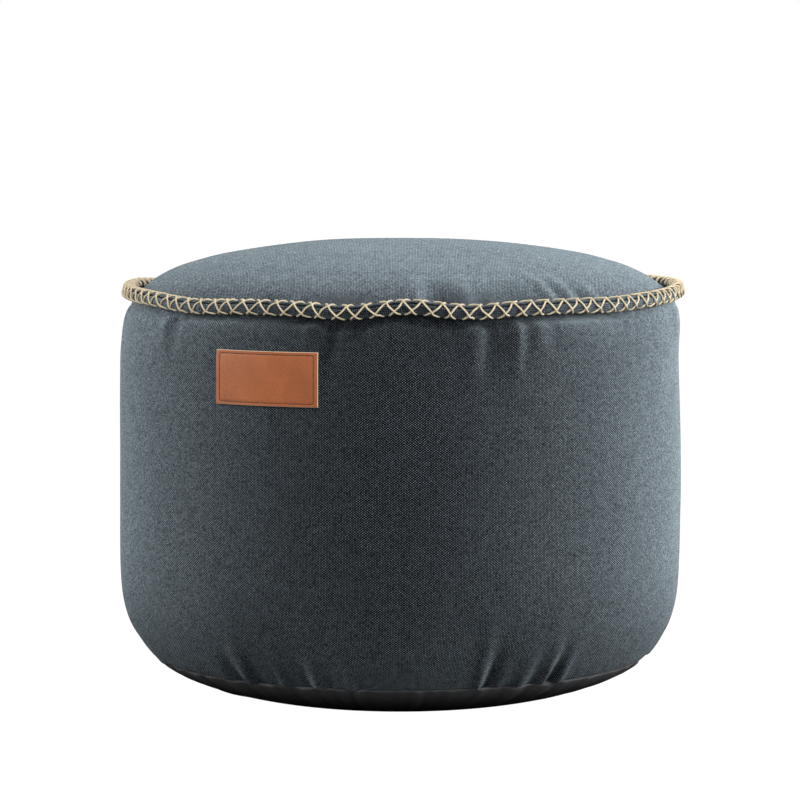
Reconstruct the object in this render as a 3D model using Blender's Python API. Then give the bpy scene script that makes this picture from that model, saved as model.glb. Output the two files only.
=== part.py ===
"""Bean bag footstool: a round, filled drum of woven cloth with a laced piping round its rim.

Metres, +Z up. The origin is the middle of the flat that the stool rests on. An azimuth is in degrees,
0 at the front (-Y) and growing towards +X. The stool is sewn from a top panel, a side panel and a base
panel, which share the filled form between them and meet at two flat seams.
"""

import math
import random

import bmesh
import bpy
from mathutils import Vector

# ---------------------------------------------------------------- driving dimensions

SEAM_GAP = 0.0003            # between solids that meet
BASE_SEAM_HEIGHT = 0.0360    # where the base panel meets the side panel
TOP_SEAM_HEIGHT = 0.3500     # where the side panel meets the top panel, under the piping

# The piping is sewn on slightly to the right of the drum's own axis.
DRUM_SHIFT = -0.0010
RIM_SHIFT = 0.0019
SHIFT_START = 0.2950          # above this height the axis moves over to the rim's

# Outlines of the filled form, from the foot up and from the rim to the middle of the crown. Rings is
# how many rings of points lie from a row to the next.
OUTLINE_COLUMNS = ("radius", "height", "rings")
BASE_OUTLINE = (
    (0.1130, 0.0000, 1),
    (0.1440, 0.0050, 1),
    (0.1725, 0.0122, 1),
    (0.1970, 0.0215, 1),
    (0.2115, 0.0297, 1),
    (0.2188, 0.0358, 1),
)
SIDE_OUTLINE = (
    (0.2188, 0.0362, 1),
    (0.2304, 0.0500, 2),
    (0.2410, 0.0700, 2),
    (0.2467, 0.1010, 1),
    (0.2480, 0.1650, 1),
    (0.2476, 0.2350, 2),
    (0.2467, 0.2900, 1),
    (0.2464, 0.3120, 1),
    (0.2455, 0.3280, 2),
    (0.2432, 0.3385, 1),
    (0.2395, 0.3455, 1),
)
TOP_OUTLINE = (
    (0.2332, 0.3615, 1),
    (0.2260, 0.3628, 1),
    (0.2190, 0.3661, 1),
    (0.2110, 0.3710, 1),
    (0.2000, 0.3764, 1),
    (0.1851, 0.3814, 1),
    (0.1600, 0.3874, 1),
    (0.1000, 0.3966, 1),
    (0.0450, 0.3994, 1),
)
CROWN_HEIGHT = 0.4000

# Piping: a cloth-covered welt. Its section is a list of angles round the welt, 0 pointing outwards and
# 90 up, with how far each corner lies inside the round. The notch is the fold between welt and lip.
RIM_RADIUS = 0.2410
RIM_HEIGHT = 0.3570
PIPING_RADIUS = 0.0056
PIPING_SECTION_COLUMNS = ("angle_deg", "inset")
PIPING_SECTION = (
    (140, 0.0),
    (95, 0.0),
    (56, 0.0),
    (47, 0.0003),
    (42, 0.0014),
    (37, 0.0004),
    (12, 0.0),
    (-30, 0.0),
    (-85, 0.0),
    (-130, 0.0),
    (180, 0.0),
)
PIPING_SEAT_GAP = 0.0005     # to the panels' turned edges, which have other facets
SIDE_SEAT_ANGLE = -130
TOP_SEAT_ANGLE = 140
TOP_WALL_ANGLE = 180
SIDE_TURN_RADIUS = 0.2345    # where each panel's edge turns in to the flat seam
TOP_TURN_RADIUS = 0.2338

# The rim isn't level: gentle rises and dips along it.
RIM_WAVE_COLUMNS = ("azimuth_deg", "rise", "spread_deg")
RIM_WAVES = (
    (-150, -0.0020, 14),
    (-124, -0.0058, 15),
    (-47, -0.0026, 10),
    (-12, -0.0024, 7),
    (1, 0.0026, 6),
    (14, -0.0024, 7),
    (47, -0.0012, 9),
    (88, 0.0016, 14),
    (128, -0.0022, 12),
    (172, 0.0020, 12),
)
RIM_WAVE_REACH = 0.028       # how far into the panels a rise fades

# Lacing: one cord crossed over the piping all round. Angles are angles round the welt.
LACING_CROSSES = 98
LACING_UNEVENNESS = 0.11     # of a pitch
LACING_SEED = 7
LACING_WIDTH = 0.0024
LACING_HEIGHT = 0.0017
LACING_GAP = 0.00055         # from the piping's corners, 0.3 mm or more from its flats
UPPER_CROSS_ANGLE = 56
LOWER_CROSS_ANGLE = -30
MIDDLE_ANGLE = 12
OVER_TOP_ANGLE = 95
UNDER_ANGLE = -85
OVER_TOP_REACH = 0.3         # of a pitch, from a cross to where the cord runs level over the top

# Folds that start at a seam and fade. A ridge has a positive height and a trough a negative one.
FOLD_COLUMNS = ("azimuth_deg", "height", "spread_deg", "length", "lean_deg")
SIDE_FOLDS_UNDER_RIM = (
    (-168, 0.0018, 2.2, 0.050, 0.5),
    (-131, -0.0016, 2.0, 0.045, 0.0),
    (-84, 0.0015, 2.0, 0.040, -0.5),
    (-55.5, 0.0018, 1.7, 0.034, 0.0),
    (-52.6, -0.0018, 1.5, 0.044, 0.0),
    (-18.1, 0.0018, 1.3, 0.022, 0.0),
    (-13.9, -0.0026, 1.3, 0.058, -0.4),
    (-5.1, 0.0009, 1.5, 0.026, 0.0),
    (-1.4, 0.0009, 1.4, 0.024, 0.0),
    (13.8, 0.0024, 1.8, 0.080, 0.4),
    (17.6, -0.0024, 1.8, 0.076, 0.4),
    (23.2, 0.0019, 1.0, 0.070, -0.2),
    (25.6, -0.0020, 1.0, 0.054, 0.2),
    (28.2, 0.0017, 1.3, 0.056, 0.3),
    (31.2, -0.0018, 1.3, 0.050, 0.3),
    (77, 0.0017, 2.0, 0.044, 0.5),
    (119, -0.0015, 2.2, 0.042, 0.0),
    (151, 0.0018, 2.2, 0.050, -0.5),
)
SIDE_FOLDS_OVER_BASE = (
    (-159, 0.0022, 2.0, 0.058, 0.5),
    (-118, 0.0021, 2.0, 0.054, 0.0),
    (-69, 0.0020, 2.0, 0.048, -0.4),
    (-37.6, -0.0020, 1.3, 0.046, -0.9),
    (-34.6, 0.0028, 1.2, 0.060, -0.7),
    (-25.5, 0.0018, 1.1, 0.044, -0.4),
    (-20.5, -0.0016, 1.1, 0.042, -0.2),
    (-18.0, 0.0026, 1.1, 0.050, -0.6),
    (-10.4, 0.0017, 1.1, 0.048, -0.5),
    (16.8, 0.0030, 1.1, 0.090, 1.0),
    (18.9, -0.0025, 1.0, 0.060, 1.1),
    (27.1, 0.0023, 1.3, 0.050, 0.2),
    (32.8, 0.0023, 0.9, 0.056, 0.4),
    (34.9, -0.0030, 1.0, 0.052, 0.4),
    (37.0, 0.0028, 1.1, 0.056, 0.4),
    (83, 0.0020, 2.0, 0.048, 0.4),
    (126, 0.0020, 2.0, 0.052, 0.0),
    (168, 0.0022, 2.0, 0.056, 0.0),
)
TOP_FOLDS_AT_RIM = (
    (-141, 0.0014, 2.2, 0.050, 0.0),
    (-86, 0.0013, 2.2, 0.045, 0.0),
    (-29.3, -0.0015, 2.2, 0.024, 0.0),
    (3.2, 0.0013, 1.6, 0.058, -0.7),
    (14.7, 0.0013, 1.5, 0.042, 1.0),
    (33.0, 0.0016, 1.7, 0.056, 3.0),
    (38.4, 0.0015, 1.6, 0.052, 2.6),
    (45.6, 0.0013, 1.6, 0.034, 1.0),
    (104, 0.0013, 2.2, 0.045, 0.0),
    (158, 0.0014, 2.2, 0.050, 0.0),
)
FOLD_COLUMN_STEPS = (-1.8, -0.8, 0.0, 0.8, 1.8)   # columns of points across a fold, in spreads
FOLD_START = 0.005           # a fold swells to its height over this length from the seam
WIDEST_COLUMN_DEG = 5.0      # elsewhere
NARROWEST_COLUMN_DEG = 0.6

BASE_SPIN_STEPS = 72

# Leather tag, sewn flat on the front left of the side panel.
TAG_WIDTH = 0.097
TAG_HEIGHT = 0.046
TAG_THICKNESS = 0.0018
TAG_AZIMUTH = -27.2
TAG_CENTRE_HEIGHT = 0.2984
TAG_TILT_DEG = 0.5
TAG_GAP = 0.0005
TAG_CELLS_ACROSS = 14
TAG_CELLS_UP = 4

SMOOTH_ANGLE = math.radians(45)
CLOTH_COLOUR = (0.115, 0.145, 0.165, 1.0)
BASE_COLOUR = (0.012, 0.013, 0.014, 1.0)
CORD_COLOUR = (0.62, 0.52, 0.35, 1.0)
LEATHER_COLOUR = (0.36, 0.14, 0.06, 1.0)


# ---------------------------------------------------------------- general shapes

def clear_scene():
    """Removes every object, so that the file holds only the stool."""
    for existing in list(bpy.data.objects):
        bpy.data.objects.remove(existing, do_unlink=True)


def polar(radius, azimuth, height, centre_x):
    """The point at a radius and an azimuth round the vertical axis at centre_x."""
    angle = math.radians(azimuth)
    return Vector((centre_x + radius * math.sin(angle), -radius * math.cos(angle), height))


def smooth_step(value):
    """0 below 0, 1 above 1, and a soft ramp between."""
    value = min(1.0, max(0.0, value))
    return value * value * (3.0 - 2.0 * value)


def azimuth_between(a, b):
    """The turn from a to b in degrees, from -180 to 180."""
    return (b - a + 180.0) % 360.0 - 180.0


def smooth_outline(rows):
    """Points of a Catmull-Rom curve through an outline, as (radius, height) vectors."""
    knots = [Vector((radius, height)) for radius, height, _rings in rows]
    knots.insert(0, 2 * knots[0] - knots[1])
    knots.append(2 * knots[-1] - knots[-2])
    curve = []
    for i, (_radius, _height, rings) in enumerate(rows[:-1]):
        a, b, c, d = knots[i:i + 4]
        for step in range(rings):
            t = step / rings
            curve.append(0.5 * (2 * b + (c - a) * t + (2 * a - 5 * b + 4 * c - d) * t ** 2
                                + (3 * b - a - 3 * c + d) * t ** 3))
    curve.append(knots[-2])
    return curve


def outline_lengths(curve):
    """The distance along an outline at each of its points."""
    lengths = [0.0]
    for previous, point in zip(curve, curve[1:]):
        lengths.append(lengths[-1] + (point - previous).length)
    return lengths


def outline_normals(curve):
    """The outward normal of an outline that runs with the filling on its left."""
    normals = []
    for i in range(len(curve)):
        along = curve[min(i + 1, len(curve) - 1)] - curve[max(i - 1, 0)]
        normals.append(Vector((along.y, -along.x)).normalized())
    return normals


def loft(mesh, rings):
    """Skins rings of equally many points, each drawn out from the one before, and closes both ends."""
    first = [mesh.verts.new(point) for point in rings[0]]
    edges = [mesh.edges.new((a, b)) for a, b in zip(first, first[1:] + first[:1])]
    bmesh.ops.contextual_create(mesh, geom=edges)
    for ring in rings[1:]:
        drawn = bmesh.ops.extrude_edge_only(mesh, edges=edges)["geom"]
        edges = [item for item in drawn if isinstance(item, bmesh.types.BMEdge)
                 and len(item.link_faces) == 1]
        corners = {vert for edge in edges for vert in edge.verts}
        for vert, point in zip(walk_round(edges, corners, first), ring):
            vert.co = point
        first = walk_round(edges, corners, first)
    bmesh.ops.contextual_create(mesh, geom=edges)


def walk_round(edges, corners, below):
    """The drawn-out points in the order of the ring below them."""
    above = {}
    for vert in corners:
        for edge in vert.link_edges:
            other = edge.other_vert(vert)
            if other not in corners:
                above[other] = vert
    return [above[vert] for vert in below]


def finish_object(name, mesh, colour, roughness, smooth=True):
    """Turns a bmesh into a named object with its own material."""
    bmesh.ops.recalc_face_normals(mesh, faces=mesh.faces)
    data = bpy.data.meshes.new(name)
    mesh.to_mesh(data)
    mesh.free()
    if smooth:
        data.shade_smooth()
        data.set_sharp_from_angle(angle=SMOOTH_ANGLE)
    material = bpy.data.materials.new(name)
    material.use_nodes = True
    shader = material.node_tree.nodes["Principled BSDF"]
    shader.inputs["Base Color"].default_value = colour
    shader.inputs["Roughness"].default_value = roughness
    shader.inputs["Metallic"].default_value = 0.0
    data.materials.append(material)
    item = bpy.data.objects.new(name, data)
    bpy.context.scene.collection.objects.link(item)
    return item


# ---------------------------------------------------------------- rim and folds

def rim_rise(azimuth):
    """How far the rim stands above its level at an azimuth."""
    rise = 0.0
    for centre, height, spread in RIM_WAVES:
        turn = azimuth_between(centre, azimuth)
        rise += height * math.exp(-(turn / spread) ** 2)
    return rise


def welt_point(azimuth, angle, distance):
    """A point near the piping: angle round the welt and distance from its middle."""
    radius = RIM_RADIUS + distance * math.cos(math.radians(angle))
    height = RIM_HEIGHT + rim_rise(azimuth) + distance * math.sin(math.radians(angle))
    return polar(radius, azimuth, height, RIM_SHIFT)


def fold_height(folds, azimuth, distance):
    """The height of all folds at an azimuth and a distance along the cloth from their seam."""
    height = 0.0
    for centre, size, spread, length, lean in folds:
        if distance >= length:
            continue
        fade = 1.0 - smooth_step(distance / length)
        start = smooth_step(distance / FOLD_START)
        turn = azimuth_between(centre + lean * distance / length, azimuth)
        height += size * start * fade * math.exp(-(turn / spread) ** 2)
    return height


def fold_columns(folds):
    """Azimuths at which a panel has points: close together across folds and wider elsewhere."""
    wanted = []
    for centre, _size, spread, _length, _lean in folds:
        wanted += [(centre + step * spread) % 360.0 for step in FOLD_COLUMN_STEPS]
    wanted.sort()
    kept = [wanted[0]]
    for azimuth in wanted[1:]:
        if azimuth - kept[-1] >= NARROWEST_COLUMN_DEG:
            kept.append(azimuth)
    columns = []
    for start, end in zip(kept, kept[1:] + [kept[0] + 360.0]):
        parts = max(1, math.ceil((end - start) / WIDEST_COLUMN_DEG))
        columns += [start + (end - start) * part / parts for part in range(parts)]
    return columns


def drum_centre(height):
    """The drum's axis, which moves over to the rim's axis near the top."""
    blend = smooth_step((height - SHIFT_START) / (TOP_SEAM_HEIGHT - SHIFT_START))
    return DRUM_SHIFT + (RIM_SHIFT - DRUM_SHIFT) * blend


# ---------------------------------------------------------------- panels

def make_base_panel():
    """The plain round of cloth under the stool, with its share of the filling, turned as one profile."""
    mesh = bmesh.new()
    outline = smooth_outline(BASE_OUTLINE)
    top = BASE_SEAM_HEIGHT - SEAM_GAP / 2
    profile = [Vector((0, 0, 0))]
    profile += [Vector((point.x, 0, point.y)) for point in outline]
    profile[-1].z = top
    profile.append(Vector((0, 0, top)))
    verts = [mesh.verts.new(point) for point in profile]
    edges = [mesh.edges.new(pair) for pair in zip(verts, verts[1:])]
    bmesh.ops.spin(mesh, geom=verts + edges, axis=(0, 0, 1), cent=(0, 0, 0),
                   angle=math.tau, steps=BASE_SPIN_STEPS, use_merge=True)
    bmesh.ops.remove_doubles(mesh, verts=mesh.verts, dist=1e-6)
    bmesh.ops.translate(mesh, verts=mesh.verts, vec=(DRUM_SHIFT, 0, 0))
    return finish_object("base_panel", mesh, BASE_COLOUR, 0.9)


def side_ring(columns, point, normal, from_base, to_rim):
    """One ring of the side panel, with the folds of both seams and the rim's rises in it."""
    level = 1.0 - smooth_step(to_rim / RIM_WAVE_REACH)
    ring = []
    for azimuth in columns:
        out = fold_height(SIDE_FOLDS_OVER_BASE, azimuth, from_base)
        out += fold_height(SIDE_FOLDS_UNDER_RIM, azimuth, to_rim)
        height = point.y + normal.y * out + level * rim_rise(azimuth)
        ring.append(polar(point.x + normal.x * out, azimuth, height, drum_centre(point.y)))
    return ring


def make_side_panel():
    """The tall band round the stool with its share of the filling, gathered at both seams."""
    columns = fold_columns(SIDE_FOLDS_OVER_BASE + SIDE_FOLDS_UNDER_RIM)
    outline = smooth_outline(SIDE_OUTLINE)
    lengths = outline_lengths(outline)
    normals = outline_normals(outline)
    rings = []
    for point, normal, length in zip(outline, normals, lengths):
        rings.append(side_ring(columns, point, normal, length, lengths[-1] - length))
    for vert in rings[0]:
        vert.z = BASE_SEAM_HEIGHT + SEAM_GAP / 2
    seat = PIPING_RADIUS + PIPING_SEAT_GAP
    rings.append([welt_point(azimuth, SIDE_SEAT_ANGLE, seat) for azimuth in columns])
    top = TOP_SEAM_HEIGHT - SEAM_GAP / 2
    rings.append([polar(SIDE_TURN_RADIUS, azimuth, top, RIM_SHIFT) for azimuth in columns])
    mesh = bmesh.new()
    loft(mesh, rings)
    return finish_object("side_panel", mesh, CLOTH_COLOUR, 0.85)


def make_top_panel():
    """The crowned round on top, with its share of the filling and puckers along the piping."""
    columns = fold_columns(TOP_FOLDS_AT_RIM)
    bottom = TOP_SEAM_HEIGHT + SEAM_GAP / 2
    seat = PIPING_RADIUS + PIPING_SEAT_GAP
    rings = [[polar(TOP_TURN_RADIUS, azimuth, bottom, RIM_SHIFT) for azimuth in columns]]
    rings.append([welt_point(azimuth, TOP_WALL_ANGLE, seat) for azimuth in columns])
    rings.append([welt_point(azimuth, TOP_SEAT_ANGLE, seat) for azimuth in columns])
    outline = smooth_outline(TOP_OUTLINE)
    lengths = outline_lengths(outline)
    for point, normal, length in zip(outline, outline_normals(outline), lengths):
        level = 1.0 - smooth_step(length / RIM_WAVE_REACH)
        ring = []
        for azimuth in columns:
            out = fold_height(TOP_FOLDS_AT_RIM, azimuth, length)
            height = point.y + normal.y * out + level * rim_rise(azimuth)
            ring.append(polar(point.x + normal.x * out, azimuth, height, RIM_SHIFT))
        rings.append(ring)
    mesh = bmesh.new()
    loft(mesh, rings)
    crown = max(mesh.faces, key=lambda face: face.calc_center_median().z)
    middle = bmesh.ops.poke(mesh, faces=[crown])["verts"][0]
    middle.co.z = CROWN_HEIGHT
    return finish_object("top_panel", mesh, CLOTH_COLOUR, 0.85)


# ---------------------------------------------------------------- piping and lacing

def cross_azimuths():
    """The azimuth of each upper cross of the lacing, a little unevenly spaced as by hand."""
    spread = random.Random(LACING_SEED)
    pitch = 360.0 / LACING_CROSSES
    return [pitch * (i + spread.uniform(-LACING_UNEVENNESS, LACING_UNEVENNESS))
            for i in range(LACING_CROSSES)]


def lacing_azimuth(azimuths, place):
    """The azimuth of a place counted in crosses, such as 3.5 for midway between two of them."""
    turns, place = divmod(place, LACING_CROSSES)
    first = int(place)
    start = azimuths[first]
    step = azimuth_between(start, azimuths[(first + 1) % LACING_CROSSES])
    return start + step * (place - first) + 360.0 * turns


def make_piping(azimuths):
    """The cloth-covered welt in the rim seam, one closed ring with the notch along it."""
    mesh = bmesh.new()
    sections = []
    for azimuth in azimuths:
        section = [mesh.verts.new(welt_point(azimuth, angle, PIPING_RADIUS - inset))
                   for angle, inset in PIPING_SECTION]
        sections.append(section)
    for section, following in zip(sections, sections[1:] + sections[:1]):
        edges = list(zip(section, section[1:] + section[:1]))
        next_edges = list(zip(following, following[1:] + following[:1]))
        for (a, b), (c, d) in zip(edges, next_edges):
            mesh.faces.new((a, b, d, c))
    return finish_object("rim_piping", mesh, CLOTH_COLOUR, 0.85)


class Lacing:
    """The lacing as struts with three-sided sections, fused where they cross.

    Places are counted in crosses along the rim, and angles are round the welt. A knot has four corners,
    to its right, top, left and bottom as seen from outside, and one ridge point that its struts share.
    """

    def __init__(self, azimuths):
        self.mesh = bmesh.new()
        self.azimuths = azimuths
        self.pitch = math.tau * RIM_RADIUS / LACING_CROSSES
        self.base = PIPING_RADIUS + LACING_GAP
        self.degrees_up = math.degrees(1.0 / self.base)

    def vert(self, place, angle, right=0.0, up=0.0, height=0.0):
        """A new point beside a place, moved right and up along the welt's surface and out from it."""
        azimuth = lacing_azimuth(self.azimuths, place + right / self.pitch)
        turned = angle + up * self.degrees_up
        return self.mesh.verts.new(welt_point(azimuth, turned, self.base + height))

    def knot(self, place, angle):
        """The points where two cords cross: four corners and the ridge point."""
        reach = LACING_WIDTH / math.sqrt(2)
        corners = {
            "right": self.vert(place, angle, right=reach),
            "top": self.vert(place, angle, up=reach),
            "left": self.vert(place, angle, right=-reach),
            "bottom": self.vert(place, angle, up=-reach),
        }
        self.mesh.faces.new([corners[side] for side in ("right", "bottom", "left", "top")])
        corners["ridge"] = self.vert(place, angle, height=LACING_HEIGHT)
        return corners

    def section(self, place, angle, right, up):
        """A strut's section at a place where it runs in the direction (right, up)."""
        length = math.hypot(right, up)
        side_right = -up / length * LACING_WIDTH / 2
        side_up = right / length * LACING_WIDTH / 2
        return (self.vert(place, angle, side_right, side_up),
                self.vert(place, angle, -side_right, -side_up),
                self.vert(place, angle, height=LACING_HEIGHT))

    def strut(self, sections):
        """Skins a strut through sections of (left, right, ridge) points."""
        for (left, right, ridge), (next_left, next_right, next_ridge) in zip(sections, sections[1:]):
            self.mesh.faces.new((left, next_left, next_right, right))
            self.mesh.faces.new((left, ridge, next_ridge, next_left))
            self.mesh.faces.new((right, next_right, next_ridge, ridge))

    def direction(self, start, end):
        """How far right and up one (place, angle) lies from another, in metres on the welt."""
        right = (end[0] - start[0]) * self.pitch
        up = math.radians(end[1] - start[1]) * self.base
        return right, up


def knot_end(knot, left, right):
    """A knot's section for a strut that leaves or reaches it between two of its corners."""
    return knot[left], knot[right], knot["ridge"]


def make_lacing(azimuths):
    """The cord: over the top from cross to cross, down in two diagonals, and under the welt."""
    lacing = Lacing(azimuths)
    count = LACING_CROSSES
    uppers = [lacing.knot(i, UPPER_CROSS_ANGLE) for i in range(count)]
    lowers = [lacing.knot(i + 0.5, LOWER_CROSS_ANGLE) for i in range(count)]
    for i in range(count):
        upper, next_upper = uppers[i], uppers[(i + 1) % count]
        lower, next_lower = lowers[i], lowers[(i + 1) % count]
        over_start = (i + OVER_TOP_REACH, OVER_TOP_ANGLE)
        over_end = (i + 1 - OVER_TOP_REACH, OVER_TOP_ANGLE)
        lacing.strut((
            knot_end(upper, "top", "right"),
            lacing.section(*over_start, 1.0, 0.5),
            lacing.section(*over_end, 1.0, -0.5),
            knot_end(next_upper, "top", "left"),
        ))
        falling = (i + 0.25, MIDDLE_ANGLE)
        lacing.strut((
            knot_end(upper, "right", "bottom"),
            lacing.section(*falling, *lacing.direction((i, UPPER_CROSS_ANGLE),
                                                       (i + 0.5, LOWER_CROSS_ANGLE))),
            knot_end(lower, "top", "left"),
        ))
        rising = (i + 0.75, MIDDLE_ANGLE)
        lacing.strut((
            knot_end(lower, "top", "right"),
            lacing.section(*rising, *lacing.direction((i + 0.5, LOWER_CROSS_ANGLE),
                                                      (i + 1, UPPER_CROSS_ANGLE))),
            knot_end(next_upper, "left", "bottom"),
        ))
        under = (i + 1.0, UNDER_ANGLE)
        lacing.strut((
            knot_end(lower, "right", "bottom"),
            lacing.section(*under, 1.0, 0.0),
            knot_end(next_lower, "left", "bottom"),
        ))
    bmesh.ops.triangulate(lacing.mesh, faces=lacing.mesh.faces)
    return finish_object("rim_lacing", lacing.mesh, CORD_COLOUR, 0.6, smooth=False)


# ---------------------------------------------------------------- tag

def outline_radius(outline, height):
    """The radius of an outline at a height."""
    for low, high in zip(outline, outline[1:]):
        if low.y <= height <= high.y:
            share = (height - low.y) / (high.y - low.y)
            return low.x + (high.x - low.x) * share
    raise ValueError("the outline doesn't reach this height")


def make_tag():
    """The leather tag: a flat oblong bent round the side panel, then given its thickness."""
    mesh = bmesh.new()
    bmesh.ops.create_grid(mesh, x_segments=TAG_CELLS_ACROSS, y_segments=TAG_CELLS_UP, size=0.5)
    outline = smooth_outline(SIDE_OUTLINE)
    tilt = math.radians(TAG_TILT_DEG)
    for vert in mesh.verts:
        across = vert.co.x * TAG_WIDTH
        up = vert.co.y * TAG_HEIGHT
        height = TAG_CENTRE_HEIGHT + across * math.sin(tilt) + up * math.cos(tilt)
        radius = outline_radius(outline, height) + TAG_GAP
        along = across * math.cos(tilt) - up * math.sin(tilt)
        azimuth = TAG_AZIMUTH + math.degrees(along / radius)
        vert.co = polar(radius, azimuth, height, drum_centre(height))
    tag = finish_object("leather_tag", mesh, LEATHER_COLOUR, 0.55)
    outward = polar(1.0, TAG_AZIMUTH, 0.0, 0.0)
    if tag.data.polygons[0].normal.dot(outward) < 0:
        tag.data.flip_normals()
    thickness = tag.modifiers.new("Thickness", "SOLIDIFY")
    thickness.thickness = TAG_THICKNESS
    thickness.offset = 1.0
    return tag


# ---------------------------------------------------------------- assembly

def main():
    """Builds the footstool."""
    clear_scene()
    make_base_panel()
    make_side_panel()
    make_top_panel()
    azimuths = cross_azimuths()
    make_piping(azimuths)
    make_lacing(azimuths)
    make_tag()


main()
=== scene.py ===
"""Bean bag footstool: its woven cloth, laced piping, leather tag and a plain studio.

The frame's solids give every size and place. Metres, +Z up, the front is -Y. An azimuth is in degrees,
0 at the front and growing towards +X. An angle round the piping is 0 outwards and 90 up.
"""

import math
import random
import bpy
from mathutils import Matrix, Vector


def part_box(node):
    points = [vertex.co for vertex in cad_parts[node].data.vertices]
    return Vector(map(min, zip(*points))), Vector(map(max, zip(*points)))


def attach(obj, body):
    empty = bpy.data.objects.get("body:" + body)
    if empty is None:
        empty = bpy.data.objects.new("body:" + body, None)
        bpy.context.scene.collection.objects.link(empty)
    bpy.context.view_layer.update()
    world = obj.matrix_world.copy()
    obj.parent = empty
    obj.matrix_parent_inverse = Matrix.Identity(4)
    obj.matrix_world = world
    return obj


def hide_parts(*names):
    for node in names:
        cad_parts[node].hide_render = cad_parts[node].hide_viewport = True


bl_info = {
    "name": "Bean Bag Footstool",
    "version": (1, 0, 0),
    "blender": (4, 5, 0),
    "location": "View3D > Sidebar > Footstool",
    "description": "Makes the cloth, piping, lacing and tag of a bean bag footstool, and its studio",
    "category": "Object",
}

import bmesh
import bpy
import numpy as np
from mathutils import Vector

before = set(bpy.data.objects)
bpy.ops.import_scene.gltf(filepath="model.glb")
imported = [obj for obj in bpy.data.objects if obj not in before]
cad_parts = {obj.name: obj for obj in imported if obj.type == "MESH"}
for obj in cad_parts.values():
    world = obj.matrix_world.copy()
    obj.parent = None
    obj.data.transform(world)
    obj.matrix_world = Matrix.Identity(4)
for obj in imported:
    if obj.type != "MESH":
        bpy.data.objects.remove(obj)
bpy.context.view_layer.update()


def box_middle(node):
    """The middle of a node's box."""
    low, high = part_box(node)
    return (low + high) / 2


# ---------------------------------------------------------------- sizes from the frame

PIPING_LOW, PIPING_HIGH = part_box("rim_piping")
SIDE_LOW, SIDE_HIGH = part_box("side_panel")
BASE_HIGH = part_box("base_panel")[1]
TOP_LOW, TOP_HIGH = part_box("top_panel")
TAG_MIDDLE = box_middle("leather_tag")

PIPING_RADIUS = 0.0056
RIM_AXIS = (PIPING_LOW.x + PIPING_HIGH.x) / 2
RIM_RADIUS = (PIPING_HIGH.x - PIPING_LOW.x) / 2 - PIPING_RADIUS
RIM_HEIGHT = 0.3570
DRUM_AXIS = (SIDE_LOW.x + SIDE_HIGH.x) / 2
DRUM_RADIUS = 0.2480
BASE_SEAM = (BASE_HIGH.z + SIDE_LOW.z) / 2
TOP_SEAM = TOP_LOW.z - 0.00015
CROWN_HEIGHT = TOP_HIGH.z
SHIFT_START = 0.295          # above this height the drum's axis moves over to the rim's

# Outlines are rows of (radius, height). The side's runs up from the base seam, the top's out from the
# middle of the crown, and the base's out from the edge of its flat.
SIDE_OUTLINE = (
    (0.2160, BASE_SEAM + 0.0002),
    (0.2192, BASE_SEAM + 0.0004),
    (0.2222, BASE_SEAM + 0.0030),
    (0.2304, 0.0500),
    (0.2410, 0.0700),
    (0.2467, 0.1010),
    (0.2480, 0.1650),
    (0.2476, 0.2350),
    (0.2467, 0.2900),
    (0.2464, 0.3120),
    (0.2455, 0.3280),
    (0.2432, 0.3385),
    (0.2395, 0.3455),
)
TOP_OUTLINE = (
    (0.0000, CROWN_HEIGHT),
    (0.0500, 0.3993),
    (0.1000, 0.3966),
    (0.1600, 0.3874),
    (0.1851, 0.3814),
    (0.2000, 0.3768),
    (0.2110, 0.3717),
    (0.2190, 0.3668),
    (0.2250, 0.3617),
    (0.2298, 0.3572),
    (0.2335, 0.3556),
)
BASE_OUTLINE = (
    (0.1150, 0.0000),
    (0.1464, 0.0050),
    (0.1740, 0.0122),
    (0.1970, 0.0215),
    (0.2105, 0.0292),
    (0.2178, BASE_SEAM - 0.0014),
    (0.2180, BASE_SEAM - 0.0002),
)
OUTLINE_STEPS = 12           # steps of the smooth curve from one row to the next

# Where the cloths meet the piping, in degrees round it, and where their edges end behind it.
SEAT_DISTANCE = PIPING_RADIUS + 0.00035      # from the middle of the piping, clear of its cloth
SIDE_SEAT_ANGLES = (-118, -152)
TOP_SEAT_ANGLES = (190, 212)
SIDE_EDGE_RADIUS = 0.2345
TOP_EDGE_RADIUS = 0.2338
EDGE_GAP = 0.0002            # from each edge to the level of the seam

# The rim's slow rises and dips are rows of (azimuth_deg, rise, spread_deg).
RIM_WAVES = (
    (-150, -0.0020, 14),
    (-124, -0.0058, 15),
    (-47, -0.0026, 10),
    (-12, -0.0024, 7),
    (1, 0.0026, 6),
    (14, -0.0024, 7),
    (47, -0.0012, 9),
    (88, 0.0016, 14),
    (128, -0.0022, 12),
    (172, 0.0020, 12),
)
RIM_WAVE_REACH = 0.028       # how far the waves go on into the cloths

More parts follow.
